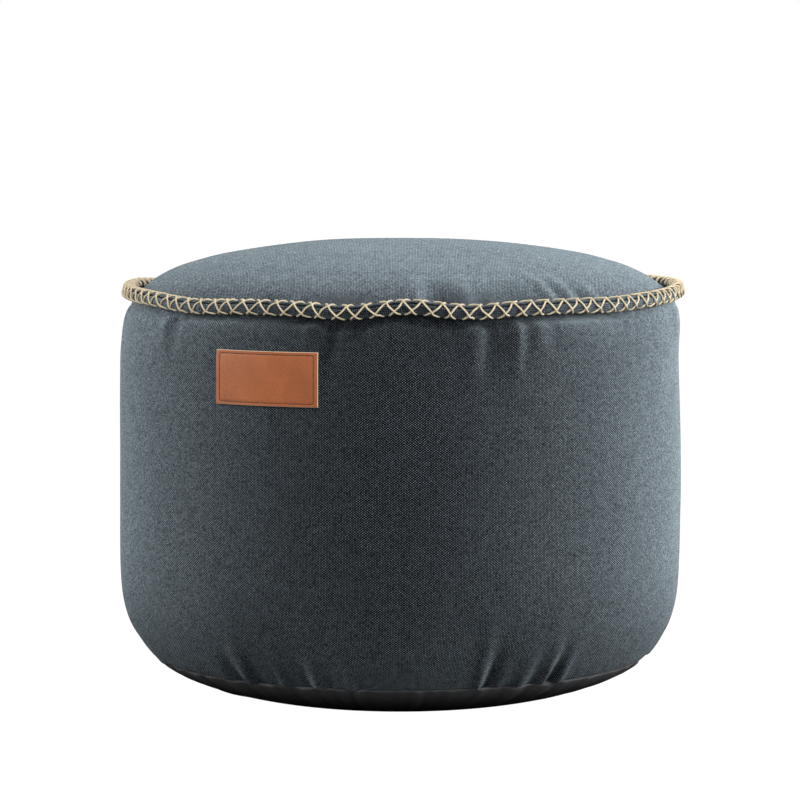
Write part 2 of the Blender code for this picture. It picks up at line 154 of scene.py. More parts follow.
# Gathers are rows of (azimuth_deg, height, spread_deg, length, lean_deg). A ridge has a positive height
# and a trough a negative one. The length runs from the seam, and the lean is the turn along it.
FOLDS_UNDER_RIM = (
    (-168, 0.0018, 2.2, 0.050, 0.5),
    (-131, -0.0016, 2.0, 0.045, 0.0),
    (-84, 0.0015, 2.0, 0.040, -0.5),
    (-55.5, 0.0018, 1.7, 0.034, 0.0),
    (-52.6, -0.0022, 1.5, 0.048, 0.0),
    (-42, 0.0016, 10.0, 0.040, 0.0),
    (-18.1, 0.0024, 1.3, 0.024, 0.0),
    (-13.9, -0.0032, 1.3, 0.060, -0.4),
    (-8.5, -0.0028, 3.2, 0.036, 0.0),
    (-5.1, 0.0009, 1.5, 0.026, 0.0),
    (-1.4, 0.0009, 1.4, 0.024, 0.0),
    (4.0, -0.0022, 4.0, 0.034, 0.0),
    (10.4, -0.0020, 3.0, 0.036, 0.0),
    (20.4, -0.0020, 1.1, 0.040, 0.0),
    (37, 0.0020, 8.0, 0.045, 0.0),
    (13.8, 0.0026, 1.8, 0.085, 0.4),
    (17.6, -0.0026, 1.8, 0.080, 0.4),
    (23.2, 0.0024, 0.8, 0.085, -0.2),
    (25.2, -0.0010, 1.0, 0.055, 0.2),
    (28.0, 0.0011, 1.5, 0.052, 0.2),
    (30.8, -0.0009, 1.0, 0.046, 0.2),
    (77, 0.0017, 2.0, 0.044, 0.5),
    (119, -0.0015, 2.2, 0.042, 0.0),
    (151, 0.0018, 2.2, 0.050, -0.5),
)
FOLDS_OVER_BASE = (
    (-159, 0.0026, 2.0, 0.060, 0.5),
    (-118, 0.0024, 2.0, 0.056, 0.0),
    (-69, 0.0022, 2.0, 0.050, -0.4),
    (-42.0, 0.0012, 1.6, 0.050, -1.0),
    (-37.4, -0.0024, 1.2, 0.052, -1.2),
    (-34.7, 0.0033, 1.5, 0.072, -1.2),
    (-32.0, -0.0026, 1.1, 0.048, -0.8),
    (-25.6, 0.0024, 1.4, 0.052, -0.8),
    (-23.4, -0.0012, 1.0, 0.040, -0.6),
    (-20.3, -0.0024, 1.0, 0.048, -0.4),
    (-17.9, 0.0029, 1.4, 0.062, -0.8),
    (-15.6, -0.0022, 1.0, 0.044, -0.4),
    (-10.4, 0.0022, 1.0, 0.056, -0.5),
    (-8.2, -0.0012, 1.0, 0.036, -0.3),
    (16.8, 0.0028, 0.95, 0.100, 1.2),
    (19.3, -0.0042, 0.95, 0.072, 1.2),
    (21.4, 0.0010, 1.0, 0.050, 0.6),
    (27.0, 0.0026, 1.3, 0.060, 0.6),
    (30.0, -0.0026, 1.1, 0.050, 0.6),
    (32.8, 0.0030, 0.85, 0.068, 1.0),
    (34.9, -0.0044, 0.90, 0.062, 1.0),
    (37.0, 0.0032, 1.0, 0.060, 0.8),
    (83, 0.0022, 2.0, 0.050, 0.4),
    (126, 0.0022, 2.0, 0.054, 0.0),
    (168, 0.0024, 2.0, 0.058, 0.0),
)
FOLDS_ON_TOP = (
    (-141, 0.0014, 2.2, 0.050, 0.0),
    (-86, 0.0013, 2.2, 0.045, 0.0),
    (-29.3, -0.0022, 2.2, 0.026, 0.0),
    (2.6, 0.0052, 1.5, 0.066, -0.7),
    (8.0, -0.0030, 1.8, 0.050, 0.0),
    (13.2, 0.0050, 1.5, 0.056, 0.6),
    (24.0, -0.0016, 2.5, 0.050, 1.0),
    (33.0, 0.0036, 1.3, 0.072, 0.6),
    (35.8, -0.0022, 1.0, 0.060, 0.6),
    (38.2, 0.0034, 1.3, 0.064, 0.6),
    (41.6, -0.0018, 1.4, 0.050, 0.4),
    (45.0, 0.0026, 1.4, 0.044, 0.4),
    (104, 0.0013, 2.2, 0.045, 0.0),
    (158, 0.0014, 2.2, 0.050, 0.0),
)
FOLD_START = 0.003           # from the seam to a fold's full height
FOLD_WIDENING = 0.7          # a fold's spread grows by this share along its length

WEAVE_UV = "weave"


# ---------------------------------------------------------------- settings

def colour_setting(name, description, default):
    """A setting that is a colour."""
    return bpy.props.FloatVectorProperty(name=name, description=description, default=default,
                                         size=3, min=0.0, max=1.0, subtype="COLOR")


class StoolFormSettings(bpy.types.PropertyGroup):
    """How full the stool is and how deep its folds are."""

    fold_depth: bpy.props.FloatProperty(
        name="Fold Depth", description="Height of the gathers, as a share of their usual height",
        default=1.0, min=0.0, max=2.0, subtype="FACTOR")
    lump_height: bpy.props.FloatProperty(
        name="Lump Height", description="How far the filling pushes the cloth out in soft lumps",
        default=0.0006, min=0.0, max=0.004, unit="LENGTH")
    pucker_height: bpy.props.FloatProperty(
        name="Pucker Height", description="Height of the small puckers along the seams",
        default=0.00035, min=0.0, max=0.002, unit="LENGTH")
    pressure: bpy.props.FloatProperty(
        name="Pressure", description="How hard the filling presses while the cloth settles",
        default=4.0, min=0.0, max=20.0)
    settle_frames: bpy.props.IntProperty(
        name="Settling Steps", description="Steps of the cloth simulation",
        default=16, min=1, max=60)
    settle_limit: bpy.props.FloatProperty(
        name="Settling Limit", description="How far the cloth may move while it settles",
        default=0.005, min=0.0, max=0.03, unit="LENGTH")


class StoolClothSettings(bpy.types.PropertyGroup):
    """The woven cloth, the base cloth and the piping."""

    light_yarn: colour_setting(
        name="Light Yarn", description="Colour of the light yarn seen straight on",
        default=(0.152, 0.180, 0.212))
    dark_yarn: colour_setting(
        name="Dark Yarn", description="Colour of the dark yarn seen straight on",
        default=(0.007, 0.008, 0.009))
    # The nap colours are a painted sheen: the cloth's colour turns to them as it turns away from the
    # camera.
    light_nap_sheen: colour_setting(
        name="Light Nap", description="Colour of the light yarn's nap at a glancing angle",
        default=(0.800, 0.955, 1.000))
    dark_nap_sheen: colour_setting(
        name="Dark Nap", description="Colour of the dark yarn's nap at a glancing angle",
        default=(0.250, 0.325, 0.415))
    # Raised above the near-black cloth's own colour as painted light; painted shade darkens it towards the
    # floor.
    base_colour: colour_setting(
        name="Base Cloth", description="Colour of the cloth underneath",
        default=(0.235, 0.240, 0.250))
    warp_pitch: bpy.props.FloatProperty(
        name="Warp Pitch", description="From one upright yarn to the next",
        default=0.00132, min=0.0003, max=0.01, unit="LENGTH")
    weft_pitch: bpy.props.FloatProperty(
        name="Weft Pitch", description="From one level yarn to the next",
        default=0.00102, min=0.0003, max=0.01, unit="LENGTH")
    notch_depth: bpy.props.FloatProperty(
        name="Notch Depth", description="Depth of the fold along the piping",
        default=0.0024, min=0.0, max=0.004, unit="LENGTH")


class StoolLacingSettings(bpy.types.PropertyGroup):
    """The cord that is laced over the piping."""

    crosses: bpy.props.IntProperty(
        name="Crosses", description="Crosses of the cord round the rim",
        default=98, min=12, max=200)
    thickness: bpy.props.FloatProperty(
        name="Cord Thickness", description="Thickness of the cord",
        default=0.0017, min=0.0005, max=0.006, unit="LENGTH")
    twist_length: bpy.props.FloatProperty(
        name="Twist Length", description="Length of one full twist of the cord's three plies",
        default=0.0036, min=0.001, max=0.02, unit="LENGTH")
    unevenness: bpy.props.FloatProperty(
        name="Unevenness", description="How unevenly the crosses are spaced, as a share of their pitch",
        default=0.11, min=0.0, max=0.4, subtype="FACTOR")
    seed: bpy.props.IntProperty(
        name="Seed", description="Seed of the uneven spacing", default=7)
    colour: colour_setting(
        name="Cord Colour", description="Colour of the waxed cord",
        default=(0.83, 0.70, 0.48))


class StoolTagSettings(bpy.types.PropertyGroup):
    """The leather tag and its stitches."""

    width: bpy.props.FloatProperty(
        name="Width", description="Width of the tag along the cloth", default=0.097, unit="LENGTH")
    height: bpy.props.FloatProperty(
        name="Height", description="Height of the tag", default=0.046, unit="LENGTH")
    thickness: bpy.props.FloatProperty(
        name="Thickness", description="Thickness of the leather", default=0.0018, unit="LENGTH")
    tilt: bpy.props.FloatProperty(
        name="Tilt", description="How far its right end stands higher",
        default=math.radians(0.5), subtype="ANGLE")
    leather: colour_setting(
        name="Leather", description="Colour of the leather's face",
        default=(0.43, 0.128, 0.040))
    cut_edge: colour_setting(
        name="Cut Edge", description="Colour of the leather's cut edge",
        default=(0.72, 0.58, 0.42))
    thread: colour_setting(
        name="Thread", description="Colour of the stitches",
        default=(0.050, 0.019, 0.011))
    stitch_pitch: bpy.props.FloatProperty(
        name="Stitch Pitch", description="From one stitch to the next", default=0.0020, unit="LENGTH")
    stitch_inset: bpy.props.FloatProperty(
        name="Stitch Inset", description="From the long edges to the row of stitches",
        default=0.0028, unit="LENGTH")
    end_inset: bpy.props.FloatProperty(
        name="End Inset", description="From the tag's ends to the row of stitches",
        default=0.0040, unit="LENGTH")


class StoolStageSettings(bpy.types.PropertyGroup):
    """The studio round the stool."""

    camera_distance: bpy.props.FloatProperty(
        name="Camera Distance", description="From the stool's axis to the camera",
        default=3.60, unit="LENGTH")
    camera_height: bpy.props.FloatProperty(
        name="Camera Height", description="Height of the camera", default=0.616, unit="LENGTH")
    camera_dip: bpy.props.FloatProperty(
        name="Camera Dip", description="How far the camera looks down",
        default=math.radians(5.667), subtype="ANGLE")
    lens: bpy.props.FloatProperty(
        name="Lens", description="Focal length in millimetres", default=183.7)
    floor_colour: colour_setting(
        name="Floor", description="Colour of the floor in the light that it throws back",
        default=(0.06, 0.06, 0.06))
    right_power: bpy.props.FloatProperty(
        name="Right Light", description="Power of the large light on the right",
        default=63.0, unit="POWER")
    left_power: bpy.props.FloatProperty(
        name="Left Light", description="Power of the weaker light on the left",
        default=22.0, unit="POWER")
    front_power: bpy.props.FloatProperty(
        name="Front Light", description="Power of the soft light high in front",
        default=27.5, unit="POWER")
    low_power: bpy.props.FloatProperty(
        name="Low Light", description="Power of the weak light low in front",
        default=7.5, unit="POWER")
    surround: bpy.props.FloatProperty(
        name="Surround", description="Brightness of the white room round the stool",
        default=0.145, min=0.0, max=4.0)


# ---------------------------------------------------------------- curves and fields

def ramp(value):
    """0 below 0, 1 above 1, and a soft rise between."""
    value = np.clip(value, 0.0, 1.0)
    return value * value * (3.0 - 2.0 * value)


def turn_between(start, end):
    """The turn from start to end in degrees, from -180 to 180."""
    return (end - start + 180.0) % 360.0 - 180.0


def away_from(middle, clear, fade, azimuth):
    """0 within clear degrees of an azimuth, and a soft rise to 1 over the next fade degrees."""
    return ramp((np.abs(turn_between(middle, azimuth)) - clear) / fade)


def beside_seam(distance, reach, start):
    """Near 1 beside a seam and less away from it, but 0 on the seam itself."""
    return np.exp(-distance / reach) * ramp(distance / start)


def polar(radius, azimuth, height, axis):
    """Points at radii and azimuths round the vertical axis at x = axis, as an array of (x, y, z)."""
    angle = np.radians(azimuth)
    radius, angle, height, axis = np.broadcast_arrays(radius, angle, height, axis)
    return np.stack([axis + radius * np.sin(angle), -radius * np.cos(angle), height], axis=-1)


def flat_round(radius, azimuth):
    """Places on a flat round of cloth, in metres across and up, for its weave map."""
    angle = np.radians(azimuth)
    return np.stack([radius * np.sin(angle), -radius * np.cos(angle)], axis=-1)


def once_round(azimuth):
    """Azimuths with the first one again, a full turn on."""
    return np.append(azimuth, azimuth[0] + 360.0)


def catmull_rom(rows, steps):
    """A smooth curve through rows of numbers, with so many steps from each row to the next."""
    knots = np.array(rows, float)
    knots = np.vstack([2 * knots[0] - knots[1], knots, 2 * knots[-1] - knots[-2]])
    curve = []
    for a, b, c, d in zip(knots, knots[1:], knots[2:], knots[3:]):
        for step in range(steps):
            t = step / steps
            curve.append(0.5 * (2 * b + (c - a) * t + (2 * a - 5 * b + 4 * c - d) * t ** 2
                                + (3 * b - a - 3 * c + d) * t ** 3))
    curve.append(knots[-2])
    return np.array(curve)


def lengths_along(curve):
    """The distance along a curve at each of its points."""
    steps = np.linalg.norm(np.diff(curve, axis=0), axis=1)
    return np.concatenate([[0.0], np.cumsum(steps)])


def respace(curve, shares):
    """Points of a curve at shares of its length, and their distances along it."""
    lengths = lengths_along(curve)
    wanted = np.asarray(shares) * lengths[-1]
    points = np.stack([np.interp(wanted, lengths, column) for column in curve.T], axis=-1)
    return points, wanted


def normals_of(curve):
    """The normal on the right of a curve's direction at each of its points."""
    along = np.gradient(curve, axis=0)
    normal = np.stack([along[:, 1], -along[:, 0]], axis=-1)
    return normal / np.linalg.norm(normal, axis=1, keepdims=True)


def shares_dense_at_ends(count, crowding):
    """Shares from 0 to 1 that lie closer together at both ends."""
    t = np.linspace(0.0, 1.0, count)
    return t - crowding * np.sin(2 * np.pi * t) / (2 * np.pi)


def columns_dense_in_front(count, crowding):
    """Azimuths round the stool that lie closer together at the front."""
    turn = np.arange(count) / count * 2 * np.pi - np.pi
    return np.degrees(turn - crowding * np.sin(turn))


def rim_rise(azimuth):
    """How far the rim stands above its level."""
    rise = np.zeros_like(azimuth, dtype=float)
    for centre, height, spread in RIM_WAVES:
        rise += height * np.exp(-(turn_between(centre, azimuth) / spread) ** 2)
    return rise


def drum_axis(height):
    """The drum's axis, which moves over to the rim's near the top."""
    blend = ramp((height - SHIFT_START) / (TOP_SEAM - SHIFT_START))
    return DRUM_AXIS + (RIM_AXIS - DRUM_AXIS) * blend


def welt_point(azimuth, angle, distance):
    """Points near the piping: angles round the welt and distances from its middle."""
    angle = np.radians(angle)
    radius = RIM_RADIUS + distance * np.cos(angle)
    height = RIM_HEIGHT + rim_rise(np.asarray(azimuth, float)) + distance * np.sin(angle)
    return polar(radius, azimuth, height, RIM_AXIS)


def fold_field(folds, azimuth, distance):
    """The height of the folds at azimuths and distances along the cloth from their seam."""
    height = np.zeros(np.broadcast(azimuth, distance).shape)
    for centre, size, spread, length, lean in folds:
        share = np.clip(distance / length, 0.0, 1.0)
        fade = (1.0 - ramp(share)) * ramp(distance / FOLD_START)
        width = spread * (1.0 + FOLD_WIDENING * share)
        turn = turn_between(centre + lean * share, azimuth)
        height = height + size * fade * np.exp(-(turn / width) ** 2)
    return height


def soft_waves(azimuth, along, seed, count, turns, pitch):
    """A soft uneven field round 0, which closes round the stool.

    It adds up so many waves: turns is the range of their number round the stool, and pitch is the
    shortest length of a wave up the cloth.
    """
    draw = random.Random(seed)
    total = np.zeros(np.broadcast(azimuth, along).shape)
    for _ in range(count):
        around = draw.randint(*turns)
        up = draw.uniform(-1.0, 1.0) / pitch
        phase = draw.uniform(0.0, math.tau)
        total = total + np.cos(np.radians(azimuth) * around + along * up * math.tau + phase)
    return total / math.sqrt(count)


def side_curve():
    """The side's outline as a smooth curve."""
    return catmull_rom(SIDE_OUTLINE, OUTLINE_STEPS)


# ---------------------------------------------------------------- meshes

def mesh_object(name, points, faces, uv=None):
    """A smooth mesh object from points and faces, with a weave map of one place for each corner."""
    mesh = bpy.data.meshes.new(name)
    mesh.from_pydata([tuple(point) for point in points], [], faces)
    if uv is not None:
        layer = mesh.uv_layers.new(name=WEAVE_UV)
        layer.data.foreach_set("uv", np.asarray(uv, np.float32).ravel())
    mesh.shade_smooth()
    mesh.update()
    piece = bpy.data.objects.new(name, mesh)
    bpy.context.scene.collection.objects.link(piece)
    return piece


def mark_painted_shade(piece, depth):
    """Notes for each point its painted shade, up to 1, or below 0 its painted light."""
    note = piece.data.attributes.new("crease", "FLOAT", "POINT")
    note.data.foreach_set("value", np.ascontiguousarray(depth, np.float32).ravel())


def grid_faces(rows, columns):
    """The quads of a flat grid of so many cells, whose points are numbered row by row."""
    side = columns + 1
    return [(row * side + column, row * side + column + 1,
             (row + 1) * side + column + 1, (row + 1) * side + column)
            for row in range(rows) for column in range(columns)]


def ring_object(name, rings, weave, closed=False):
    """Rings of points round the stool, skinned with quads, also from the last to the first if closed.

    rings is ring, column, 3. The weave map has a column more, and a ring more if closed.
    """
    total, count = rings.shape[:2]
    faces = []
    uv = []
    for ring in range(total if closed else total - 1):
        above = (ring + 1) % total
        for column in range(count):
            beside = (column + 1) % count
            faces.append((ring * count + column, ring * count + beside,
                          above * count + beside, above * count + column))
            uv += [weave[ring, column], weave[ring, column + 1],
                   weave[ring + 1, column + 1], weave[ring + 1, column]]
    return mesh_object(name, rings.reshape(-1, 3), faces, uv)


def baked(piece):
    """Turns a piece's modifiers into its plain mesh."""
    graph = bpy.context.evaluated_depsgraph_get()
    mesh = bpy.data.meshes.new_from_object(piece.evaluated_get(graph), preserve_all_data_layers=True,
                                           depsgraph=graph)
    piece.modifiers.clear()
    old = piece.data
    piece.data = mesh
    bpy.data.meshes.remove(old)
    mesh.name = piece.name
    mesh.shade_smooth()
    return piece


def points_of(mesh):
    """A mesh's points as an array."""
    points = np.empty(len(mesh.vertices) * 3, np.float32)
    mesh.vertices.foreach_get("co", points)
    return points.reshape(-1, 3).astype(float)


FABRIC = {
    "quality": 6,
    "mass": 0.4,
    "tension_stiffness": 40.0,
    "compression_stiffness": 40.0,
    "shear_stiffness": 20.0,
    "bending_stiffness": 4.0,
    "use_pressure": True,
}


def pressed_out(piece, held):
    """Each point's place, and how far the filling presses it out between the held points."""
    form = bpy.context.scene.stool_form
    start = points_of(piece.data)
    group = piece.vertex_groups.new(name="seams")
    group.add([int(index) for index in held], 1.0, "REPLACE")
    cloth = piece.modifiers.new("Filling", "CLOTH")
    for name, value in FABRIC.items():
        setattr(cloth.settings, name, value)
    cloth.settings.uniform_pressure_force = form.pressure
    cloth.settings.vertex_group_mass = "seams"
    cloth.settings.effector_weights.gravity = 0.0
    cloth.point_cache.frame_start = 1
    cloth.point_cache.frame_end = form.settle_frames
    for step in range(1, form.settle_frames + 1):
        bpy.context.scene.frame_set(step)
    graph = bpy.context.evaluated_depsgraph_get()
    moved = points_of(piece.evaluated_get(graph).data) - start
    piece.modifiers.remove(cloth)
    piece.vertex_groups.clear()
    bpy.context.scene.frame_set(1)
    return start, moved


def settle(piece, held, rings):
    """Lets the filling press the cloth out, then keeps what differs round each ring of points.

    held are the points that the seams hold, and rings is each point's ring. The outline keeps the size
    of the frame, because each ring's own average movement is taken off.
    """
    start, moved = pressed_out(piece, held)
    away = start[:, :2] - np.array([DRUM_AXIS, 0.0])
    away /= np.maximum(np.linalg.norm(away, axis=1, keepdims=True), 1e-6)
    outward = (moved[:, :2] * away).sum(axis=1)
    counts = np.maximum(np.bincount(rings), 1)
    moved[:, :2] -= (np.bincount(rings, outward) / counts)[rings, None] * away
    moved[:, 2] -= (np.bincount(rings, moved[:, 2]) / counts)[rings]
    length = np.linalg.norm(moved, axis=1, keepdims=True)
    limit = bpy.context.scene.stool_form.settle_limit
    moved *= np.minimum(1.0, limit / np.maximum(length, 1e-9))
    moved[held] = 0.0
    piece.data.vertices.foreach_set("co", (start + moved).astype(np.float32).ravel())
    piece.data.update()


def refine(piece):
    """One level of subdivision, made part of the mesh."""
    finer = piece.modifiers.new("Finer", "SUBSURF")
    finer.levels = 1
    finer.render_levels = 1
    return baked(piece)


def close(piece):
    """Fills the open ends in and turns every face outwards."""
    shape = bmesh.new()
    shape.from_mesh(piece.data)
    ends = [edge for edge in shape.edges if edge.is_boundary]
    bmesh.ops.holes_fill(shape, edges=ends, sides=0)
    bmesh.ops.recalc_face_normals(shape, faces=shape.faces)
    shape.to_mesh(piece.data)
    shape.free()
    piece.data.shade_smooth()


# ---------------------------------------------------------------- node trees

class Board:
    """Adds and links the nodes of one tree."""

    def __init__(self, tree):
        self.tree = tree
        self.tree.nodes.clear()

    def add(self, kind, inputs=None, **settings):
        """A new node with its settings, its inputs fed by name or number."""
        node = self.tree.nodes.new(kind)
        for key, value in settings.items():
            setattr(node, key, value)
        for key, value in (inputs or {}).items():
            self.feed(node.inputs[key], value)
        return node

    def feed(self, socket, value):
        """Links a socket to another, or sets its value."""
        if isinstance(value, bpy.types.NodeSocket):
            self.tree.links.new(value, socket)
        else:
            socket.default_value = value

    def math(self, operation, first, second=0.0, third=0.0):
        """The result of one sum on numbers."""
        return self.add("ShaderNodeMath", {0: first, 1: second, 2: third},
                        operation=operation).outputs[0]

    def mix(self, share, first, second):
        """A mix of two numbers."""
        return self.add("ShaderNodeMix", {0: share, 2: first, 3: second}).outputs[0]

    def mix_colour(self, share, first, second):
        """A mix of two colours."""
        return self.add("ShaderNodeMix", {0: share, 6: first, 7: second}, data_type="RGBA").outputs[2]

    def scaled(self, vector, scale):
        """A vector or colour times a number."""
        return self.add("ShaderNodeVectorMath", {0: vector, "Scale": scale},
                        operation="SCALE").outputs[0]


def opaque(colour):
    """A colour with full alpha."""
    return (*colour, 1.0)


BLACK = (0.0, 0.0, 0.0, 1.0)
WHITE = (1.0, 1.0, 1.0, 1.0)


def new_group(name, kind, inputs, outputs):
    """A new node group's board and its two ends, from (name, kind, default) and (name, kind) rows."""
    tree = bpy.data.node_groups.new(name, kind)
    for label, socket_kind, value in inputs:
        socket = tree.interface.new_socket(label, in_out="INPUT", socket_type=socket_kind)
        if value is not None:
            socket.default_value = value
    for label, socket_kind in outputs:
        tree.interface.new_socket(label, in_out="OUTPUT", socket_type=socket_kind)
    board = Board(tree)
    given = board.add("NodeGroupInput").outputs
    result = board.add("NodeGroupOutput").inputs
    return board, given, result


# The plain weave's yarns, with painted shade between them, less of it where the nap's painted sheen covers
# them
YARN_EDGE = 0.6              # a yarn's height where it dives, as a share of its height on top
YARN_NOISE_GAP = 3.7         # from one yarn's unevenness to the next one's, in the noise's units
YARN_NOISE_RATE = 0.35       # how fast a yarn's shade changes along it, for each crossing
YARN_NOISE_GAIN = 3.0
GAP_SHADE = 0.03             # brightness between the yarns, seen straight on
GAP_FALL = 2.2               # how fast the brightness falls off there
NAP_SHADE = 0.35             # brightness between the yarns where the nap covers them
NAP_COVER = 1.8              # how late the nap starts to cover them


def build_weave_group():
    """Plain weave: light yarn one way and dark yarn the other, each over and under in turn, with painted
    shade between the yarns.
    """
    board, given, result = new_group("Plain Weave", "ShaderNodeTree", (
        ("Place", "NodeSocketVector", None),
        ("Warp Pitch", "NodeSocketFloat", 0.0013),
        ("Weft Pitch", "NodeSocketFloat", 0.0010),
        ("Light Yarn", "NodeSocketColor", (0.3, 0.3, 0.3, 1.0)),
        ("Dark Yarn", "NodeSocketColor", (0.03, 0.03, 0.03, 1.0)),
        ("Melange", "NodeSocketFloat", 0.4),
        ("Nap", "NodeSocketFloat", 0.0),
    ), (("Color", "NodeSocketColor"), ("Height", "NodeSocketFloat")))
    pitches = board.add("ShaderNodeCombineXYZ", {0: given["Warp Pitch"], 1: given["Weft Pitch"],
                                                 2: 1.0}).outputs[0]
    counted = board.add("ShaderNodeVectorMath", {0: given["Place"], 1: pitches}, operation="DIVIDE")
    place = board.add("ShaderNodeSeparateXYZ", {0: counted.outputs[0]}).outputs
    numbers = [board.math("FLOOR", place[axis]) for axis in "XY"]
    across = [board.math("SINE", board.math("MULTIPLY", board.math("FRACT", place[axis]), math.pi))
              for axis in "XY"]
    both = board.math("MULTIPLY", board.math("ADD", *numbers), 0.5)
    warp_on_top = board.math("MULTIPLY", board.math("FRACT", both), 2.0)
    heights = [board.math("MULTIPLY", mine, board.math("MULTIPLY_ADD", other, 1.0 - YARN_EDGE, YARN_EDGE))
               for mine, other in (across, reversed(across))]
    height = board.mix(warp_on_top, heights[1], heights[0])
    shades = []
    for number, along, yarn in ((numbers[0], place["Y"], given["Light Yarn"]),
                                (numbers[1], place["X"], given["Dark Yarn"])):
        spot = board.add("ShaderNodeCombineXYZ", {0: board.math("MULTIPLY", number, YARN_NOISE_GAP),
                                                  1: board.math("MULTIPLY", along, YARN_NOISE_RATE)})
        noise = board.add("ShaderNodeTexNoise", {"Vector": spot.outputs[0], "Scale": 1.0,
                                                 "Detail": 2.0}, noise_dimensions="2D")
        uneven = board.math("MULTIPLY_ADD", noise.outputs[0], YARN_NOISE_GAIN, -YARN_NOISE_GAIN / 2)
        shades.append(board.scaled(yarn, board.math("MULTIPLY_ADD", uneven, given["Melange"], 1.0)))
    colour = board.mix_colour(warp_on_top, shades[1], shades[0])
    # Painted shade between the yarns: darker where a yarn dives, less so under the nap's painted sheen.
    bare = board.math("MULTIPLY_ADD", board.math("POWER", height, GAP_FALL), 1.0 - GAP_SHADE, GAP_SHADE)
    napped = board.math("MULTIPLY_ADD", height, 1.0 - NAP_SHADE, NAP_SHADE)
    depth = board.mix(board.math("POWER", given["Nap"], NAP_COVER), bare, napped)
    board.feed(result["Color"], board.scaled(colour, depth))
    board.feed(result["Height"], height)
    return board.tree


def build_mottle_group():
    """Soft uneven patches that make a colour lighter and darker."""
    board, given, result = new_group("Soft Mottle", "ShaderNodeTree", (
        ("Place", "NodeSocketVector", None),
        ("Color", "NodeSocketColor", (0.5, 0.5, 0.5, 1.0)),
        ("Scale", "NodeSocketFloat", 20.0),
        ("Amount", "NodeSocketFloat", 0.1),
        ("Detail", "NodeSocketFloat", 3.0),
    ), (("Color", "NodeSocketColor"), ("Value", "NodeSocketFloat")))
    noise = board.add("ShaderNodeTexNoise", {"Vector": given["Place"], "Scale": given["Scale"],
                                             "Detail": given["Detail"]}).outputs[0]
    uneven = board.math("MULTIPLY_ADD", noise, 2.0, -1.0)
    gain = board.math("MULTIPLY_ADD", uneven, given["Amount"], 1.0)
    board.feed(result["Color"], board.scaled(given["Color"], gain))
    board.feed(result["Value"], noise)
    return board.tree


def shared_group(board, name, inputs):
    """A node of a shared shader group, which is built the first time that it is asked for."""
    builders = {"Plain Weave": build_weave_group, "Soft Mottle": build_mottle_group}
    tree = bpy.data.node_groups.get(name) or builders[name]()
    return board.add("ShaderNodeGroup", inputs, node_tree=tree).outputs


def mottled(board, colour, scale, amount):
    """A colour in soft patches, so many to a metre, and the patches' own pattern."""
    place = board.add("ShaderNodeTexCoord").outputs["Object"]
    patches = shared_group(board, "Soft Mottle", {"Place": place, "Color": colour, "Scale": scale,
                                                  "Amount": amount})
    return patches["Color"], patches["Value"]


# ---------------------------------------------------------------- materials

def new_material(name, roughness, specular=0.5):
    """A material with its board and its Principled shader."""
    material = bpy.data.materials.new(name)
    material.use_nodes = True
    board = Board(material.node_tree)
    shader = board.add("ShaderNodeBsdfPrincipled", {"Roughness": roughness,
                                                    "Specular IOR Level": specular})
    board.add("ShaderNodeOutputMaterial", {"Surface": shader.outputs[0]})
    return material, board, shader


def raise_surface(board, shader, height, strength, distance):
    """Gives a shader the bumps of a height."""
    bump = board.add("ShaderNodeBump", {"Strength": strength, "Distance": distance, "Height": height})
    board.feed(shader.inputs["Normal"], bump.outputs[0])


WEAVE_TURNS = {"panel_weave": 0.0, "piping_weave": 45.0}     # degrees: the piping is cut on the bias
# The nap's painted sheen: the power of its rise as the cloth turns away from the camera.
SHEEN_RISE = 1.03              # how late the nap shows as the cloth turns away
YARN_MELANGE = 0.8


def cloth_material(name):
    """One of the woven cloths, made the first time that it is asked for."""
    return bpy.data.materials.get(name) or weave_material(name)


def weave_material(name):
    """The blue-grey woven cloth, with the nap's painted sheen where it turns away, more painted light in
    places, and painted shade that darkens it.
    """
    cloth = bpy.context.scene.stool_cloth
    material, board, shader = new_material(name, roughness=0.85, specular=0.06)
    places = board.add("ShaderNodeUVMap", uv_map=WEAVE_UV).outputs[0]
    turned = board.add("ShaderNodeMapping", {"Vector": places,
                                             "Rotation": (0.0, 0.0, math.radians(WEAVE_TURNS[name]))})
    # The nap's painted sheen grows as the cloth turns away from the camera, and painted light adds to it.
    facing = board.add("ShaderNodeLayerWeight", {"Blend": 0.5}).outputs["Facing"]
    crease = board.add("ShaderNodeAttribute", attribute_name="crease").outputs["Fac"]
    painted_light = board.math("MAXIMUM", board.math("MULTIPLY", crease, -1.0), 0.0)
    painted_sheen = board.math("ADD", board.math("POWER", facing, SHEEN_RISE), painted_light)
    weave = shared_group(board, "Plain Weave", {
        "Place": turned.outputs[0],
        "Warp Pitch": cloth.warp_pitch,
        "Weft Pitch": cloth.weft_pitch,
        "Light Yarn": board.mix_colour(painted_sheen, opaque(cloth.light_yarn), opaque(cloth.light_nap_sheen)),
        "Dark Yarn": board.mix_colour(painted_sheen, opaque(cloth.dark_yarn), opaque(cloth.dark_nap_sheen)),
        "Melange": YARN_MELANGE,
        "Nap": painted_sheen,
    })
    patches = mottled(board, weave["Color"], scale=90.0, amount=0.20)[0]
    colour, fibres = mottled(board, patches, scale=1400.0, amount=0.7)
    # Painted shade darkens the cloth towards black.
    board.feed(shader.inputs["Base Color"], board.mix_colour(crease, colour, BLACK))
    raise_surface(board, shader, board.math("MULTIPLY_ADD", fibres, 0.35, weave["Height"]),
                  strength=0.8, distance=0.00035)
    return material


